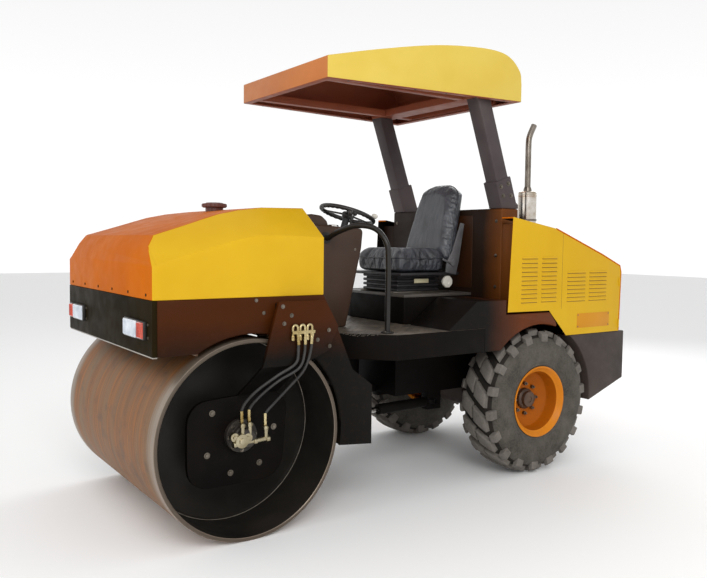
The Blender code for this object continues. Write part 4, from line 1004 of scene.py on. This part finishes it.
def makeSteering():
    low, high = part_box("steering_wheel")
    wheel = {"ring": 0.170, "grip": 0.014, "tilt": radians(18), "knobAt": radians(150)}
    centre = (low + high) / 2
    lean = Matrix.Rotation(-wheel["tilt"], 4, "Y")
    deselectAll()
    bpy.ops.mesh.primitive_torus_add(
        major_radius=wheel["ring"], minor_radius=wheel["grip"], major_segments=120, minor_segments=16
    )
    ring = bpy.context.object
    for vertex in ring.data.vertices:  # finger grips on the underside of the ring
        spin = atan2(vertex.co.y, vertex.co.x)
        if vertex.co.z < 0.004:
            vertex.co.z += 0.0016 * sin(spin * 30)
    parts = [ring]
    for turn in (pi, pi / 3, -pi / 3):
        spoke = box("spoke", (0.020, -0.013, -0.006), (wheel["ring"] - 0.004, 0.013, 0.002), 0.003, 3)
        for vertex in spoke.data.vertices:
            reach = vertex.co.x / wheel["ring"]
            vertex.co.y *= 1.25 - 0.5 * reach
            vertex.co.z += 0.004 * reach
        parts.append(place(spoke, (0, 0, 0), Matrix.Rotation(turn, 4, "Z")))
    hub = turned(
        "hub",
        [
            (0.0004, -0.027), (0.026, -0.027), (0.032, -0.016), (0.034, -0.006), (0.034, 0.006),
            (0.028, 0.012), (0.0004, 0.014)
        ],
        steps=48
    )
    parts.append(place(hub, (0, 0, 0), Matrix.Rotation(pi / 2, 4, "X")))
    grip = joined("steering_wheel_moulding", parts)
    dress(place(grip, centre, lean), blackPlastic, "steering_wheel", "black_plastic", "steering_wheel")
    cap = turned(
        "cap", [(0.0004, 0.0185), (0.018, 0.017), (0.023, 0.012), (0.023, 0.010), (0.0004, 0.010)],
        steps=40
    )
    cap = joined("horn_cap", [place(cap, (0, 0, 0), Matrix.Rotation(pi / 2, 4, "X"))])
    dress(place(cap, centre, lean), chromePlate, "steering_wheel", "chrome_plate")
    knob = turned(
        "knob",
        [
            (0.0004, 0.010), (0.006, 0.010), (0.006, 0.022), (0.015, 0.026), (0.020, 0.036),
            (0.019, 0.046), (0.011, 0.052), (0.0004, 0.053)
        ],
        steps=32
    )
    knob = joined("spinner_knob", [place(knob, (0, 0, 0), Matrix.Rotation(pi / 2, 4, "X"))])
    onRing = Matrix.Rotation(wheel["knobAt"], 4, "Z") @ Matrix.Translation((wheel["ring"], 0, 0))
    place(knob, centre, lean @ onRing)
    dress(knob, whiteKnob, "steering_wheel", "black_plastic")

    foot = centre - (lean @ Vector((0, 0, 1))) * 0.150
    shaft = turned(
        "column",
        [
            (0.0004, 0.0), (0.040, 0.0), (0.040, 0.012), (0.034, 0.018), (0.036, 0.026), (0.029, 0.034),
            (0.031, 0.042), (0.0225, 0.052), (0.0215, 0.060), (0.0215, 0.1210), (0.0004, 0.1210)
        ],
        steps=40
    )
    place(shaft, (0, 0, 0), Matrix.Rotation(pi / 2, 4, "X"))
    dress(
        place(joined("steering_column_boot", [shaft]), foot, lean), blackPlastic, "rear_frame",
        "black_enamel", "steering_column"
    )


def makeHandrails():
    rail = {"radius": 0.016, "flange": 0.038}
    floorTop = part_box("floor")[1].z
    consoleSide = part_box("console")[1].y
    for name, side in sides:
        knots = (
            (axleX + 1.330, side * (consoleSide + 0.001), 1.500),
            (axleX + 1.330, side * (consoleSide + 0.030), 1.500),
            (axleX + 1.315, side * 0.330, 1.535),
            (axleX + 1.260, side * 0.430, 1.570),
            (axleX + 1.195, side * 0.520, 1.555),
            (axleX + 1.165, side * 0.590, 1.480),
            (axleX + 1.155, side * 0.600, 1.380),
            (axleX + 1.155, side * 0.600, 1.150),
            (axleX + 1.155, side * 0.600, floorTop + 0.001),
        )
        bar = tube(f"handrail_tube_{name}", smoothRoute(knots, 10), rail["radius"], 5)
        dress(bar, railEnamel, "rear_frame", "black_enamel", f"handrail_{name}", angle=60)
        plate = rod("flange", (axleX + 1.155, side * 0.600, floorTop + 0.0002),
                    (axleX + 1.155, side * 0.600, floorTop + 0.008), rail["flange"], 40, 0.002)
        inner = rod("flange", (axleX + 1.330, side * (consoleSide + 0.0002), 1.500),
                    (axleX + 1.330, side * (consoleSide + 0.007), 1.500), rail["flange"] - 0.004, 40, 0.002)
        dress(joined(f"handrail_flanges_{name}", [plate, inner]), railEnamel, "rear_frame", "black_enamel")
        feet = [(axleX + 1.155 + 0.028 * cos(a), side * 0.600 + 0.028 * sin(a), floorTop + 0.0075)
                for a in (0.5, 2.6, 4.7)]
        boltRow(f"handrail_bolts_{name}", feet, "rear_frame", 0.005, 0.006, boltZinc, (0, 0, 1), False)


def makeFloor():
    low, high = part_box("floor")
    piece = cadCopy("floor")
    roundEdges(piece, 0.004, 2)
    top = high.z
    paintFaces(
        piece, [blackEnamel, floorPlate],
        lambda at, facing: 1 if facing.z > 0.8 and at.z > top - 0.01 else 0,
    )
    dress(piece, blackEnamel, "rear_frame", "black_enamel", "floor")
    bar = box("tread", (-0.011, -0.0024, -0.001), (0.011, 0.0024, 0.0016), 0.0012, 1)
    tread = {"pitch": 0.034, "edge": 0.050}
    taken = [((0.300, 0.610), (-0.235, 0.235)), ((-0.375, -0.055), (-0.310, 0.310))]
    clear = [(axleX + 1.155, 0.600), (axleX + 1.155, -0.600)]
    places = []
    row = 0
    x = low.x + tread["edge"]
    while x < high.x - tread["edge"]:
        y = low.y + tread["edge"]
        column = 0
        while y < high.y - tread["edge"]:
            blocked = any(a < x < b and c < y < d for (a, b), (c, d) in taken)
            blocked = blocked or any(hypot(x - a, y - b) < 0.052 for a, b in clear)
            under = abs(y) > 0.33 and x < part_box("fender_left")[1].x + 0.02
            if not blocked and not under:
                turn = radians(45 if (row + column) % 2 else -45)
                places.append(Matrix.Translation((x, y, top)) @ Matrix.Rotation(turn, 4, "Z"))
            y += tread["pitch"]
            column += 1
        x += tread["pitch"]
        row += 1
    bars = joined("floor_tread_bars", copiesOf(bar, places))
    dress(bars, floorPlate, "rear_frame", "black_enamel")


# brown-black, softly shining
consoleEnamel = enamel("consoleBrownBlackEnamel", "33241a", "443024", 0.36, "5c4a3a", 0.08, 0.3)
# black, polished by hands
railEnamel = enamel("handrailBlackEnamel", "141210", "1e1a17", 0.34, "3c342c", 0.05, 0.35, 0.1)
# dark with a hard glint
gaugeFace = plain("gaugeGlassOverBlack", "101214", "1c2024", 0.12, 0.0, 90, 0.02, Coat_Weight=0.8)
makeConsole()
makeSteering()
makeHandrails()
makeFloor()
print("operator station ready")


def puffed(node, name, pinned, fill, slack, narrowed=None):  # pinned says which points the shell holds
    cover = {"start": 0.955, "voxel": 0.0075, "steps": 20, "most": 0.026}
    low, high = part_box(node)
    middle = (low + high) / 2
    piece = bpy.data.objects.new(name, nodes[node].data.copy())
    bpy.context.scene.collection.objects.link(piece)
    mergeDoubles(piece, 0.00002)
    place(piece, middle, Matrix.Scale(cover["start"], 4) @ Matrix.Translation(-middle))
    remesh = piece.modifiers.new("evenMesh", "REMESH")
    remesh.mode = "VOXEL"
    remesh.voxel_size = cover["voxel"]
    applyAll(piece)
    if narrowed:
        narrowed(piece)
    before = [vertex.co.copy() for vertex in piece.data.vertices]
    held = piece.vertex_groups.new(name="held")
    held.add([v.index for v in piece.data.vertices if pinned(v.co)], 1.0, "REPLACE")
    cloth = piece.modifiers.new("cover", "CLOTH")
    settings = cloth.settings
    settings.quality = 5
    settings.mass = 0.25
    settings.tension_stiffness = 9
    settings.compression_stiffness = 9
    settings.shear_stiffness = 3
    settings.bending_stiffness = 0.12
    settings.use_pressure = True
    settings.uniform_pressure_force = fill
    settings.shrink_min = -slack
    settings.vertex_group_mass = "held"
    settings.effector_weights.gravity = 0
    cloth.point_cache.frame_start = 1
    cloth.point_cache.frame_end = cover["steps"]
    for step in range(1, cover["steps"] + 1):
        bpy.context.scene.frame_set(step)
    applyAll(piece)
    bpy.context.scene.frame_set(1)
    for vertex, start in zip(piece.data.vertices, before):
        moved = vertex.co - start
        if moved.length > cover["most"]:
            vertex.co = start + moved.normalized() * cover["most"]
    finer = piece.modifiers.new("finer", "SUBSURF")
    finer.levels = finer.render_levels = 1
    return applyAll(piece)


def piping(name, pad, loop, radius):  # a welt laid on the cover along a loop of points near it
    found = []
    for at in loop:
        spot, facing = pad.closest_point_on_mesh(at)[1:3]
        found.append(spot + facing * radius * 0.3)
    eased = [(found[i - 1] + found[i] * 2 + found[(i + 1) % len(found)]) / 4 for i in range(len(found))]
    return tube(name, eased + [eased[0], eased[1]], radius, 3)


def roundedLoop(lowA, highA, lowB, highB, corner, steps=10):  # a round-cornered rectangle of even points
    loop = []
    for a, b, start in ((highA, highB, 0), (lowA, highB, 90), (lowA, lowB, 180), (highA, lowB, 270)):
        centreA = a - corner if a == highA else a + corner
        centreB = b - corner if b == highB else b + corner
        for i in range(steps + 1):
            turn = radians(start + 90 * i / steps)
            loop.append((centreA + corner * cos(turn), centreB + corner * sin(turn)))
    dense = []
    for near, far in zip(loop, loop[1:] + loop[:1]):
        gap = hypot(far[0] - near[0], far[1] - near[1])
        many = max(1, int(gap / 0.012))
        dense += [
            (near[0] + (far[0] - near[0]) * k / many, near[1] + (far[1] - near[1]) * k / many)
            for k in range(many)
        ]
    return dense


def makeSeat():
    low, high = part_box("seat_cushion")
    cushion = puffed("seat_cushion", "seat_cushion_cover", lambda at: at.z < low.z + 0.022, 3.5, 0.06)
    welt = [Vector((x, y, high.z - 0.040)) for x, y in roundedLoop(low.x, high.x, low.y, high.y, 0.05)]
    band = piping("seat_cushion_welt", cushion, welt, 0.0042)
    dress(cushion, seatVinyl, "rear_frame", "seat_vinyl", "seat_cushion", angle=80)
    dress(band, weltVinyl, "rear_frame", "seat_vinyl", angle=80)

    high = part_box("seat_backrest")[1]
    lean = radians(12)
    foot = Vector((axleX + 0.365, 0, 1.345))
    upward = Vector((-sin(lean), 0, cos(lean)))
    forward = Vector((cos(lean), 0, sin(lean)))
    centre = foot + upward * 0.275
    wide = high.y

    def reshape(at):  # narrower and rounder towards its top, leaning away a little more
        height = (at - centre).dot(upward) / 0.275
        rise = max(0.0, (height + 1) / 2)
        corner = max(0.0, height) ** 3 * (abs(at.y) / wide) ** 3
        at.y *= 1.03 - 0.26 * rise ** 1.6
        return at - upward * 0.075 * corner - forward * 0.030 * rise ** 2

    def narrow(piece):
        for vertex in piece.data.vertices:
            vertex.co = reshape(vertex.co.copy())

    back = puffed(
        "seat_backrest", "seat_backrest_cover", lambda at: (at - centre).dot(forward) < -0.020, 1.5, 0.035,
        narrow
    )
    welt = [reshape(centre + upward * v + Vector((0, y, 0)) + forward * 0.012)
            for y, v in roundedLoop(-wide, wide, -0.275, 0.275, 0.06)]
    band = piping("seat_backrest_welt", back, welt, 0.0042)
    dress(back, seatVinyl, "rear_frame", "seat_vinyl", "seat_backrest", angle=80)
    dress(band, weltVinyl, "rear_frame", "seat_vinyl", angle=80)

    shell = box("seat_back_shell", (-0.052, -wide + 0.060, -0.240), (-0.040, wide - 0.060, 0.120), 0.005, 3)
    turn = Matrix.Rotation(-lean, 4, "Y")
    dress(place(shell, centre, turn), blackPlastic, "rear_frame", "black_plastic")


def makeSuspension():
    bellow = {"folds": 7, "depth": 0.016, "half": 0.190, "round": 0.0085}
    low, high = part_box("seat_suspension")
    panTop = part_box("seat_cushion")[0].z
    pan = box("seat_pan", (low.x, low.y, panTop - 0.020), (high.x, high.y, panTop - 0.001), 0.005, 3)
    folds = [pan]
    count, half = bellow["folds"], bellow["half"]
    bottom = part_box("seat_pedestal")[1].z + 0.014
    step = (panTop - 0.020 - bottom) / count
    for i in range(count):
        inset = 0.0 if i % 2 == 0 else bellow["depth"]
        folds.append(box(
            "fold", (low.x + 0.120 + inset, -half + inset, bottom + step * i - 0.002),
            (low.x + 0.470 - inset, half - inset, bottom + step * (i + 1) + 0.002), bellow["round"], 3,
        ))
    bellows = joined("seat_suspension_bellows", folds)
    dress(bellows, bellowsRubber, "rear_frame", "black_enamel", "seat_suspension")
    rails = [
        box(
            "rail", (low.x + 0.03, side * 0.165 - 0.017, bottom - 0.0135),
            (high.x + 0.005, side * 0.165 + 0.017, bottom), 0.003
        )
        for side in (1, -1)
    ]
    dress(joined("seat_slide_rails", rails), railSteel, "rear_frame", "cast_iron")

    tag = box("seat_tag", (-0.352, 0.1895, 1.216), (-0.232, 0.1925, 1.243), 0.001)
    dress(tag, labelBeige, "rear_frame", "lamp_lens")
    knob = turned(
        "weight_knob",
        [
            (0.0004, 0.0), (0.012, 0.0), (0.012, 0.030), (0.036, 0.032), (0.041, 0.038), (0.041, 0.050),
            (0.037, 0.055), (0.014, 0.056), (0.011, 0.051), (0.0004, 0.051)
        ],
        steps=48
    )
    for vertex in knob.data.vertices:  # scalloped for the hand
        out = hypot(vertex.co.x, vertex.co.z)
        if out > 0.030:
            wave = 1 - 0.06 * (0.5 + 0.5 * cos(8 * atan2(vertex.co.z, vertex.co.x)))
            vertex.co.x *= wave
            vertex.co.z *= wave
    dress(place(knob, (-0.478, 0.188, 1.222)), whiteKnob, "rear_frame", "lamp_lens")

    lean = radians(12)
    for name, side in sides:
        plate = prism(
            "plate",
            [
                (-0.045, -0.055), (0.045, -0.055), (0.050, 0.010), (0.020, 0.085), (-0.010, 0.290),
                (-0.040, 0.290), (-0.050, 0.040)
            ],
            0.0, 0.012, 0.0035, 2
        )
        place(
            plate, (-0.505, side * 0.2395 - (0.012 if side < 0 else 0), 1.330),
            Matrix.Rotation(-lean, 4, "Y")
        )
        pivot = rod("pivot", (-0.510, side * 0.238, 1.345), (-0.510, side * 0.258, 1.345), 0.024, 32, 0.003)
        arm = rod("arm", (-0.495, side * 0.252, 1.340), (-0.415, side * 0.256, 1.372), 0.007, 16, 0.002)
        dress(
            joined(f"seat_recliner_{name}", [plate, pivot, arm]), reclinerGrey, "rear_frame",
            "black_enamel"
        )


def makePedestal():
    piece = roundEdges(cadCopy("seat_pedestal"), 0.006, 3)
    dress(piece, blackEnamel, "rear_frame", "black_enamel", "seat_pedestal")
    low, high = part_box("seat_pedestal")
    lip = box(
        "pedestal_lip", (low.x + 0.004, low.y - 0.0015, high.z - 0.016),
        (high.x + 0.0015, high.y + 0.0015, high.z + 0.0012), 0.002
    )
    dress(lip, lipGrey, "rear_frame", "black_enamel")


weltVinyl = plain("vinylWelt", "2c2d31", "3a3b40", 0.35, 0.0, 300, 0.1)  # a darker, smoother vinyl
bellowsRubber = plain("pleatedBellowsRubber", "171617", "242224", 0.48, 0.0, 300, 0.12)  # soft matt black
railSteel = plain("slideRailSteel", "7a746c", "5c564e", 0.4, 0.9)  # grey metal gleam
# smooth grey on pressed steel
reclinerGrey = plain("reclinerGreyPaint", "5a595b", "6b6a6c", 0.38, 0.2, 180, 0.1)
lipGrey = plain("pedestalEdgeGrey", "4a4540", "5a544d", 0.42, 0.1)  # an edge worn to dull metal
makeSeat()
makeSuspension()
makePedestal()
print("seat ready")


def makeRearFrame():
    rear = {"wallBolts": (1.20, 1.40, 1.62), "weightBolts": (0.62, 0.78), "padAcross": 0.52}
    for node, material, bevel in (
        ("fender_left", fenderEnamel, 0.004), ("fender_right", fenderEnamel, 0.004),
        ("floor_riser", blackEnamel, 0.003), ("rear_chassis", blackEnamel, 0.003),
        ("rear_axle", castEnamel, 0.004), ("bulkhead", bulkheadEnamel, 0.007),
        ("counterweight", castEnamel, 0.010), ("engine_block", castIron, 0.008),
    ):
        finished(node, material, "rear_frame", bevel)
    finished("pivot_pin", railSteel, "rear_frame", 0.003, "cast_iron")
    finished("steering_yoke", blackEnamel, "pivot_block", 0.004)
    for name, side in sides:
        finished(f"cylinder_barrel_{name}", blackEnamel, f"cylinder_{name}", 0.002)
        finished(f"cylinder_rod_{name}", chromePlate, f"cylinder_{name}_rod", 0.0015, "chrome_plate")
        finished(f"drum_hub_{name}", castIron, "drum", 0.003, "cast_iron")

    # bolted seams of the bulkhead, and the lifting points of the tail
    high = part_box("bulkhead")[1]
    front = [(high.x + 0.0003, side * (high.y - 0.045), z) for side in (1, -1) for z in rear["wallBolts"]]
    boltRow("bulkhead_bolts", front, "rear_frame", 0.008, 0.006, boltZinc, (1, 0, 0))
    cover = box("bulkhead_panel", (high.x - 0.002, -0.300, 1.18), (high.x + 0.004, 0.300, 1.66), 0.004, 3)
    dress(cover, brownEnamel, "rear_frame", "black_enamel")
    for name, side in sides:  # closes the hood's mouth beside the wall
        a, b = sorted((side * (high.y - 0.006), side * 0.6885))
        wing = box(f"bulkhead_wing_{name}", (-0.652, a, 1.060), (-0.642, b, 1.600), 0.003)
        dress(wing, bulkheadEnamel, "rear_frame", "black_enamel")
    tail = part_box("counterweight")[0].x
    bolts = [(tail + 0.0005, side * 0.32, z) for side in (1, -1) for z in rear["weightBolts"]]
    boltRow("counterweight_bolts", bolts, "rear_frame", 0.016, 0.014, boltZinc, (-1, 0, 0), False)
    eyes = []
    for side in (1, -1):
        for y in (side * rear["padAcross"] - 0.030, side * rear["padAcross"] + 0.030):
            eyes.append(rod("pad", (tail + 0.020, y, 0.800), (tail + 0.001, y, 0.800), 0.014, 20, 0.002))
    dress(joined("tail_lifting_pads", eyes), castEnamel, "rear_frame", "black_enamel")


def makeTailLamps():  # on the hood's back, clear of the counterweight
    lamp = {"across": 0.600, "half": 0.055, "foot": 0.985, "top": 1.045, "rim": 0.006}
    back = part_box("engine_hood")[0].x + 0.0045
    for name, side in sides:
        y, half, rim = side * lamp["across"], lamp["half"], lamp["rim"]
        foot, top = lamp["foot"], lamp["top"]
        case = box(
            f"tail_lamp_case_{name}", (back - 0.018, y - half, foot), (back + 0.004, y + half, top), 0.004
        )
        dress(case, blackPlastic, "engine_hood", "black_plastic")
        near, far = (back - 0.024, y - half + rim, foot + rim), (back - 0.014, y + half - rim, top - rim)
        lens = box(f"tail_lamp_{name}", near, far, 0.003)
        dress(lens, amberLens, "engine_hood", "amber_lens")


def louvreField(parts, slots, near, far, low, high, columns, rows, side):
    louvre = {"gap": 0.024, "share": 0.56, "pressed": 0.0075, "drawnIn": 0.009}
    gap = louvre["gap"]
    length = (far - near - gap * (columns - 1)) / columns
    pitch = (high - low) / rows
    blade = box("blade", (0, -0.006, 0), (length, 0.007, pitch * louvre["share"]), 0)
    for vertex in blade.data.vertices:  # pressed out along its lower edge and drawn in at its ends
        if vertex.co.y > 0:
            vertex.co.y = 0.0012 if vertex.co.z > pitch * 0.3 else louvre["pressed"]
            vertex.co.x += louvre["drawnIn"] if vertex.co.x < length / 2 else -louvre["drawnIn"]
    roundEdges(blade, 0.002, 2, 20)
    slot = box("slot", (0.008, -0.004, -0.0045), (length - 0.008, 0.0004, 0.001), 0)
    turn = Matrix() if side > 0 else Matrix.Scale(-1, 4, (0, 1, 0))
    places = [
        Matrix.Translation((near + (length + gap) * c, side * hoodSide, low + pitch * r + 0.006)) @ turn
        for c in range(columns)
        for r in range(rows)
    ]
    blades = joined("blades", copiesOf(blade, places))
    gaps = joined("gaps", copiesOf(slot, places))
    if side < 0:
        for piece in (blades, gaps):
            mergeDoubles(piece, 0.000001)
    parts.append(blades)
    slots.append(gaps)


def makeEngineHood():
    hood = {
        "louvres": ((-1.014, -0.673, 1.103, 1.406, 2, 11), (-1.521, -1.103, 1.097, 1.309, 2, 8)),
        "seamX": -1.058, "panel": ((-1.551, 0.920), (-1.216, 1.017)), "slats": 11, "bead": 0.0075,
    }
    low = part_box("engine_hood")[0]

    # the hood's inside faces take black enamel as painted shade
    def inner(at, facing):
        return facing.z < -0.5 or at.y * facing.y < -0.01 or (facing.x > 0.5 and at.x < low.x + 0.10)

    piece = cadCopy("engine_hood")
    roundEdges(piece, 0.006, 3, 24)
    paintFaces(
        piece, [yellowEnamel, orangeEnamel, blackEnamel],
        lambda at, facing: 2 if inner(at, facing) else (0 if abs(facing.y) > 0.36 else 1),
    )
    dress(piece, yellowEnamel, "engine_hood", "yellow_enamel", "engine_hood", angle=28)
    blades, slots = [], []
    for name, side in sides:
        for field in hood["louvres"]:
            louvreField(blades, slots, *field, side)
        face = side * hoodSide
        a, b = sorted((face - side * 0.002, face + side * 0.0004))
        slots.append(box("seam", (hood["seamX"] - 0.001, a, 1.056), (hood["seamX"] + 0.001, b, 1.555), 0))
        a, b = sorted((face - side * 0.002, face + side * 0.0016))
        (rearX, lowZ), (frontX, highZ) = hood["panel"]
        panel = box(f"hood_name_panel_{name}", (rearX, a, lowZ), (frontX, b, highZ), 0.0012)
        dress(panel, panelOrange, "engine_hood", "orange_enamel")
        screws = [
            (x, face + side * 0.0014, z)
            for x in (rearX + 0.010, frontX - 0.010)
            for z in (lowZ + 0.010, highZ - 0.010)
        ]
        boltRow(f"hood_panel_screws_{name}", screws, "engine_hood", 0.0035, 0.002, boltZinc, (0, side, 0))
        hinge = [
            rod(
                "hinge", (-1.655, face + side * 0.001, z - 0.03), (-1.655, face + side * 0.001, z + 0.03),
                0.006, 16, 0.001
            )
            for z in (0.93, 1.22)
        ]
        dress(joined(f"hood_edge_hinges_{name}", hinge), yellowEnamel, "engine_hood", "yellow_enamel")
        edge = [
            (axleX - 0.130, 1.574), (axleX - 0.600, 1.408), (axleX - 0.792, 1.332),
            (axleX - 0.8065, 1.288), (axleX - 0.795, 0.884)
        ]
        bead = tube(f"hood_rolled_edge_{name}", [(x, side * 0.6945, z) for x, z in edge], hood["bead"], 3)
        dress(bead, orangeEnamel, "engine_hood", "orange_enamel")
    back = low.x + 0.0040
    grille = []
    # dark slats as painted shadow in the grille's openings
    for i in range(hood["slats"]):  # the radiator's grille at the back
        z = 1.060 + 0.020 * i
        grille.append(box("slat_gap", (back - 0.0016, -0.380, z), (back + 0.010, 0.380, z + 0.010), 0))
    dress(joined("hood_louvres", blades), yellowEnamel, "engine_hood", "yellow_enamel", angle=30)
    dress(joined("hood_louvre_gaps", slots), louvreShade, "engine_hood", "yellow_enamel")
    dress(joined("hood_rear_grille", grille), gapShadow, "engine_hood", "black_plastic")


def makeExhaust():
    exhaust = {"pipe": 0.0205, "bore": 0.0178, "strapDown": 0.200}
    low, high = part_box("muffler")
    middle = Vector(((low.x + high.x) / 2, (low.y + high.y) / 2, 0))
    radius = (high.x - low.x) / 2
    top = high.z
    profile = [(0.0004, -0.31)]
    profile += [
        (radius - 0.0015, -0.31), (radius - 0.0015, -0.036), (radius, -0.034), (radius, -0.026),
        (radius - 0.002, -0.024), (radius - 0.002, -0.010), (radius - 0.006, -0.003),
        (radius - 0.014, 0.0), (0.027, 0.0), (0.0004, -0.0006)
    ]
    body = turned("muffler_shell", profile, steps=64)
    place(body, middle + Vector((0, 0, top)), Matrix.Rotation(pi / 2, 4, "X"))
    strap = turned(
        "strap",
        [
            (radius - 0.003, -0.005), (radius + 0.0015, -0.005), (radius + 0.0015, 0.009),
            (radius - 0.003, 0.009)
        ],
        steps=64
    )
    place(strap, middle + Vector((0, 0, top - exhaust["strapDown"])), Matrix.Rotation(pi / 2, 4, "X"))
    dress(body, mufflerChrome, "engine_hood", "exhaust_steel", "muffler", angle=25)
    dress(joined("muffler_strap", [strap]), railSteel, "engine_hood", "exhaust_steel")

    knots = [Vector((middle.x + dx, middle.y, top + dz)) for dx, dz in (
        (0, 0.0005), (0, 0.160), (0, 0.330), (-0.012, 0.390), (-0.050, 0.460))]
    route = smoothRoute(knots, 10)
    pipe = tube("exhaust_stack", route, exhaust["pipe"], 6)
    collar = turned(
        "collar", [(0.0200, 0), (0.0285, 0), (0.0285, 0.010), (0.0225, 0.030), (0.0200, 0.030)], steps=40
    )
    place(collar, knots[0], Matrix.Rotation(pi / 2, 4, "X"))
    dress(
        joined("exhaust_stack", [pipe, collar]), pipeSteel, "engine_hood", "exhaust_steel", "exhaust_pipe",
        angle=60
    )
    ahead = (route[-1] - route[-2]).normalized()
    # a dark disc in the pipe's mouth: painted shadow inside the bore
    bore = rod("exhaust_bore", route[-1] - ahead * 0.001, route[-1] + ahead * 0.0006, exhaust["bore"], 32, 0)
    dress(bore, gapShadow, "engine_hood", "exhaust_steel")


def makeRoof():
    low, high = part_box("canopy")
    middle = (low.x + high.x) / 2
    front, rear, bottom = high.x, low.x, low.z
    roof = {"sheet": 0.009, "lip": 0.045, "frontHalf": 0.505, "rearHalf": 0.628, "noseHigh": 2.480}
    crown = smoothRoute(
        (
            (front, 0, roof["noseHigh"]), (front - 0.330, 0, 2.555), (front - 0.680, 0, 2.622),
            (front - 0.960, 0, 2.651), (front - 1.160, 0, 2.651), (front - 1.270, 0, 2.619),
            (rear + 0.014, 0, 2.545), (rear, 0, 2.470),
        ),
        6
    )
    crown = [(min(front, max(rear, at.x)), min(high.z, at.z)) for at in crown]
    outline = [(front, bottom), *crown, (rear, bottom)]
    piece = prism("canopy_skin", outline, -roof["rearHalf"], roof["rearHalf"], 0)
    selectFaces(piece, lambda at, facing: facing.z < -0.9)
    bpy.ops.object.mode_set(mode="EDIT")
    bpy.ops.mesh.inset(thickness=roof["lip"])
    bpy.ops.mesh.delete(type="FACE")
    objectMode()
    thick = piece.modifiers.new("sheet", "SOLIDIFY")
    thick.thickness = roof["sheet"]
    thick.offset = -1
    applyAll(piece)
    for vertex in piece.data.vertices:  # narrower towards the front
        share = (vertex.co.x - rear) / (front - rear)
        vertex.co.y *= 1 + (roof["frontHalf"] / roof["rearHalf"] - 1) * share
    roundEdges(piece, 0.004, 2, 32)

    # inward and downward faces take the underside brown, which carries painted shade
    def finish(at, facing):
        inward = at.y * facing.y < -0.01 and abs(facing.y) > 0.5
        inward = inward or (facing.x < -0.5 and at.x > middle) or (facing.x > 0.5 and at.x < middle)
        if inward or facing.z < -0.3:
            return 2
        return 0 if abs(facing.y) > 0.36 else 1

    paintFaces(piece, [canopyYellow, canopyOrange, canopyUnder], finish)
    dress(piece, canopyYellow, "rear_frame", "yellow_enamel", "canopy", angle=32)
    finished("canopy_frame", canopyUnder, "rear_frame", 0.004)
    for name, side in sides:
        finished(f"rops_post_{name}", greyEnamel, "rear_frame", 0.006)
        lean = radians(19.7)
        foot = Vector((axleX + 0.155, side * 0.5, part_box("bulkhead")[1].z + 0.0003))
        along = Vector((sin(lean), 0, cos(lean)))
        outer = [
            foot + along * 0.150 + along * v + Vector((cos(lean), 0, -sin(lean))) * u + Vector(
                (0, side * 0.0577, 0)
            )
            for v, u in ((-0.075, -0.034), (0.005, -0.034), (0.005, 0.034), (-0.055, 0.034))
        ]
        boltRow(
            f"post_socket_bolts_{name}", outer, "rear_frame", 0.010, 0.009, boltZinc, (0, side, 0), False
        )
        corners = [foot + Vector((x, side * y, 0.0298)) for x, y in ((-0.062, 0.046), (-0.062, -0.046))]
        boltRow(f"post_foot_bolts_{name}", corners, "rear_frame", 0.008, 0.008, boltZinc, (0, 0, 1), False)
    taper = (roof["rearHalf"] - roof["frontHalf"]) / (front - rear)
    edge = [(x, side * (roof["rearHalf"] - (x - rear) * taper - 0.020), bottom - 0.0002)
            for side in (1, -1) for x in [rear + 0.12 + 0.22 * i for i in range(6)]]
    boltRow("canopy_lip_rivets", edge, "rear_frame", 0.006, 0.003, boltZinc, (0, 0, -1))


# brown behind, as painted warm light bounced from the hood; black towards the front
fenderEnamel = enamel("fenderBounceLitEnamel", "5c2c0e", "120f0d", paintedLightRamp=("X", -0.70, -0.40))
# black inside as painted shade, brown at the open edge as painted light
bulkheadEnamel = enamel("bulkheadShadeAndLitEdgeEnamel", "21150e", "6a3a12", paintedLightRamp=("Y", 0.40, 0.60))
# warmer and flatter than the yellow
panelOrange = enamel("amberPanelFilm", "c98a1c", "c08016", 0.42, "a87838", 0.08, 0.2)
# painted shadow for gaps and openings
gapShadow = plain("paintedGapShadow", "2c2210", "1f180c", 0.7)  # dark and dull
louvreShade = plain("louvreShadePaint", "7d5f16", "6b5012", 0.6)  # yellow in its own shade
# yellow bleached by the sun
canopyYellow = enamel("canopyYellowEnamel", "d6bc56", "cfb248", 0.36, "c9a860", 0.06, 0.22)
# orange bleached by the sun
canopyOrange = enamel("canopyOrangeEnamel", "c47a3e", "b56c36", 0.38, "9a7850", 0.08, 0.22)
# red-brown undercoat, painted darker as the shade under the roof
canopyUnder = enamel("canopyUndersideBrown", "83442f", "935034", 0.48, "8a6650", 0.08, 0.25)
makeRearFrame()
makeTailLamps()
makeEngineHood()
makeExhaust()
makeRoof()
print("rear and roof ready")


for node, packed in nodes.items():
    if packed.hide_render:
        continue
    packed.data.materials.clear()
    packed.data.materials.append(blackEnamel)
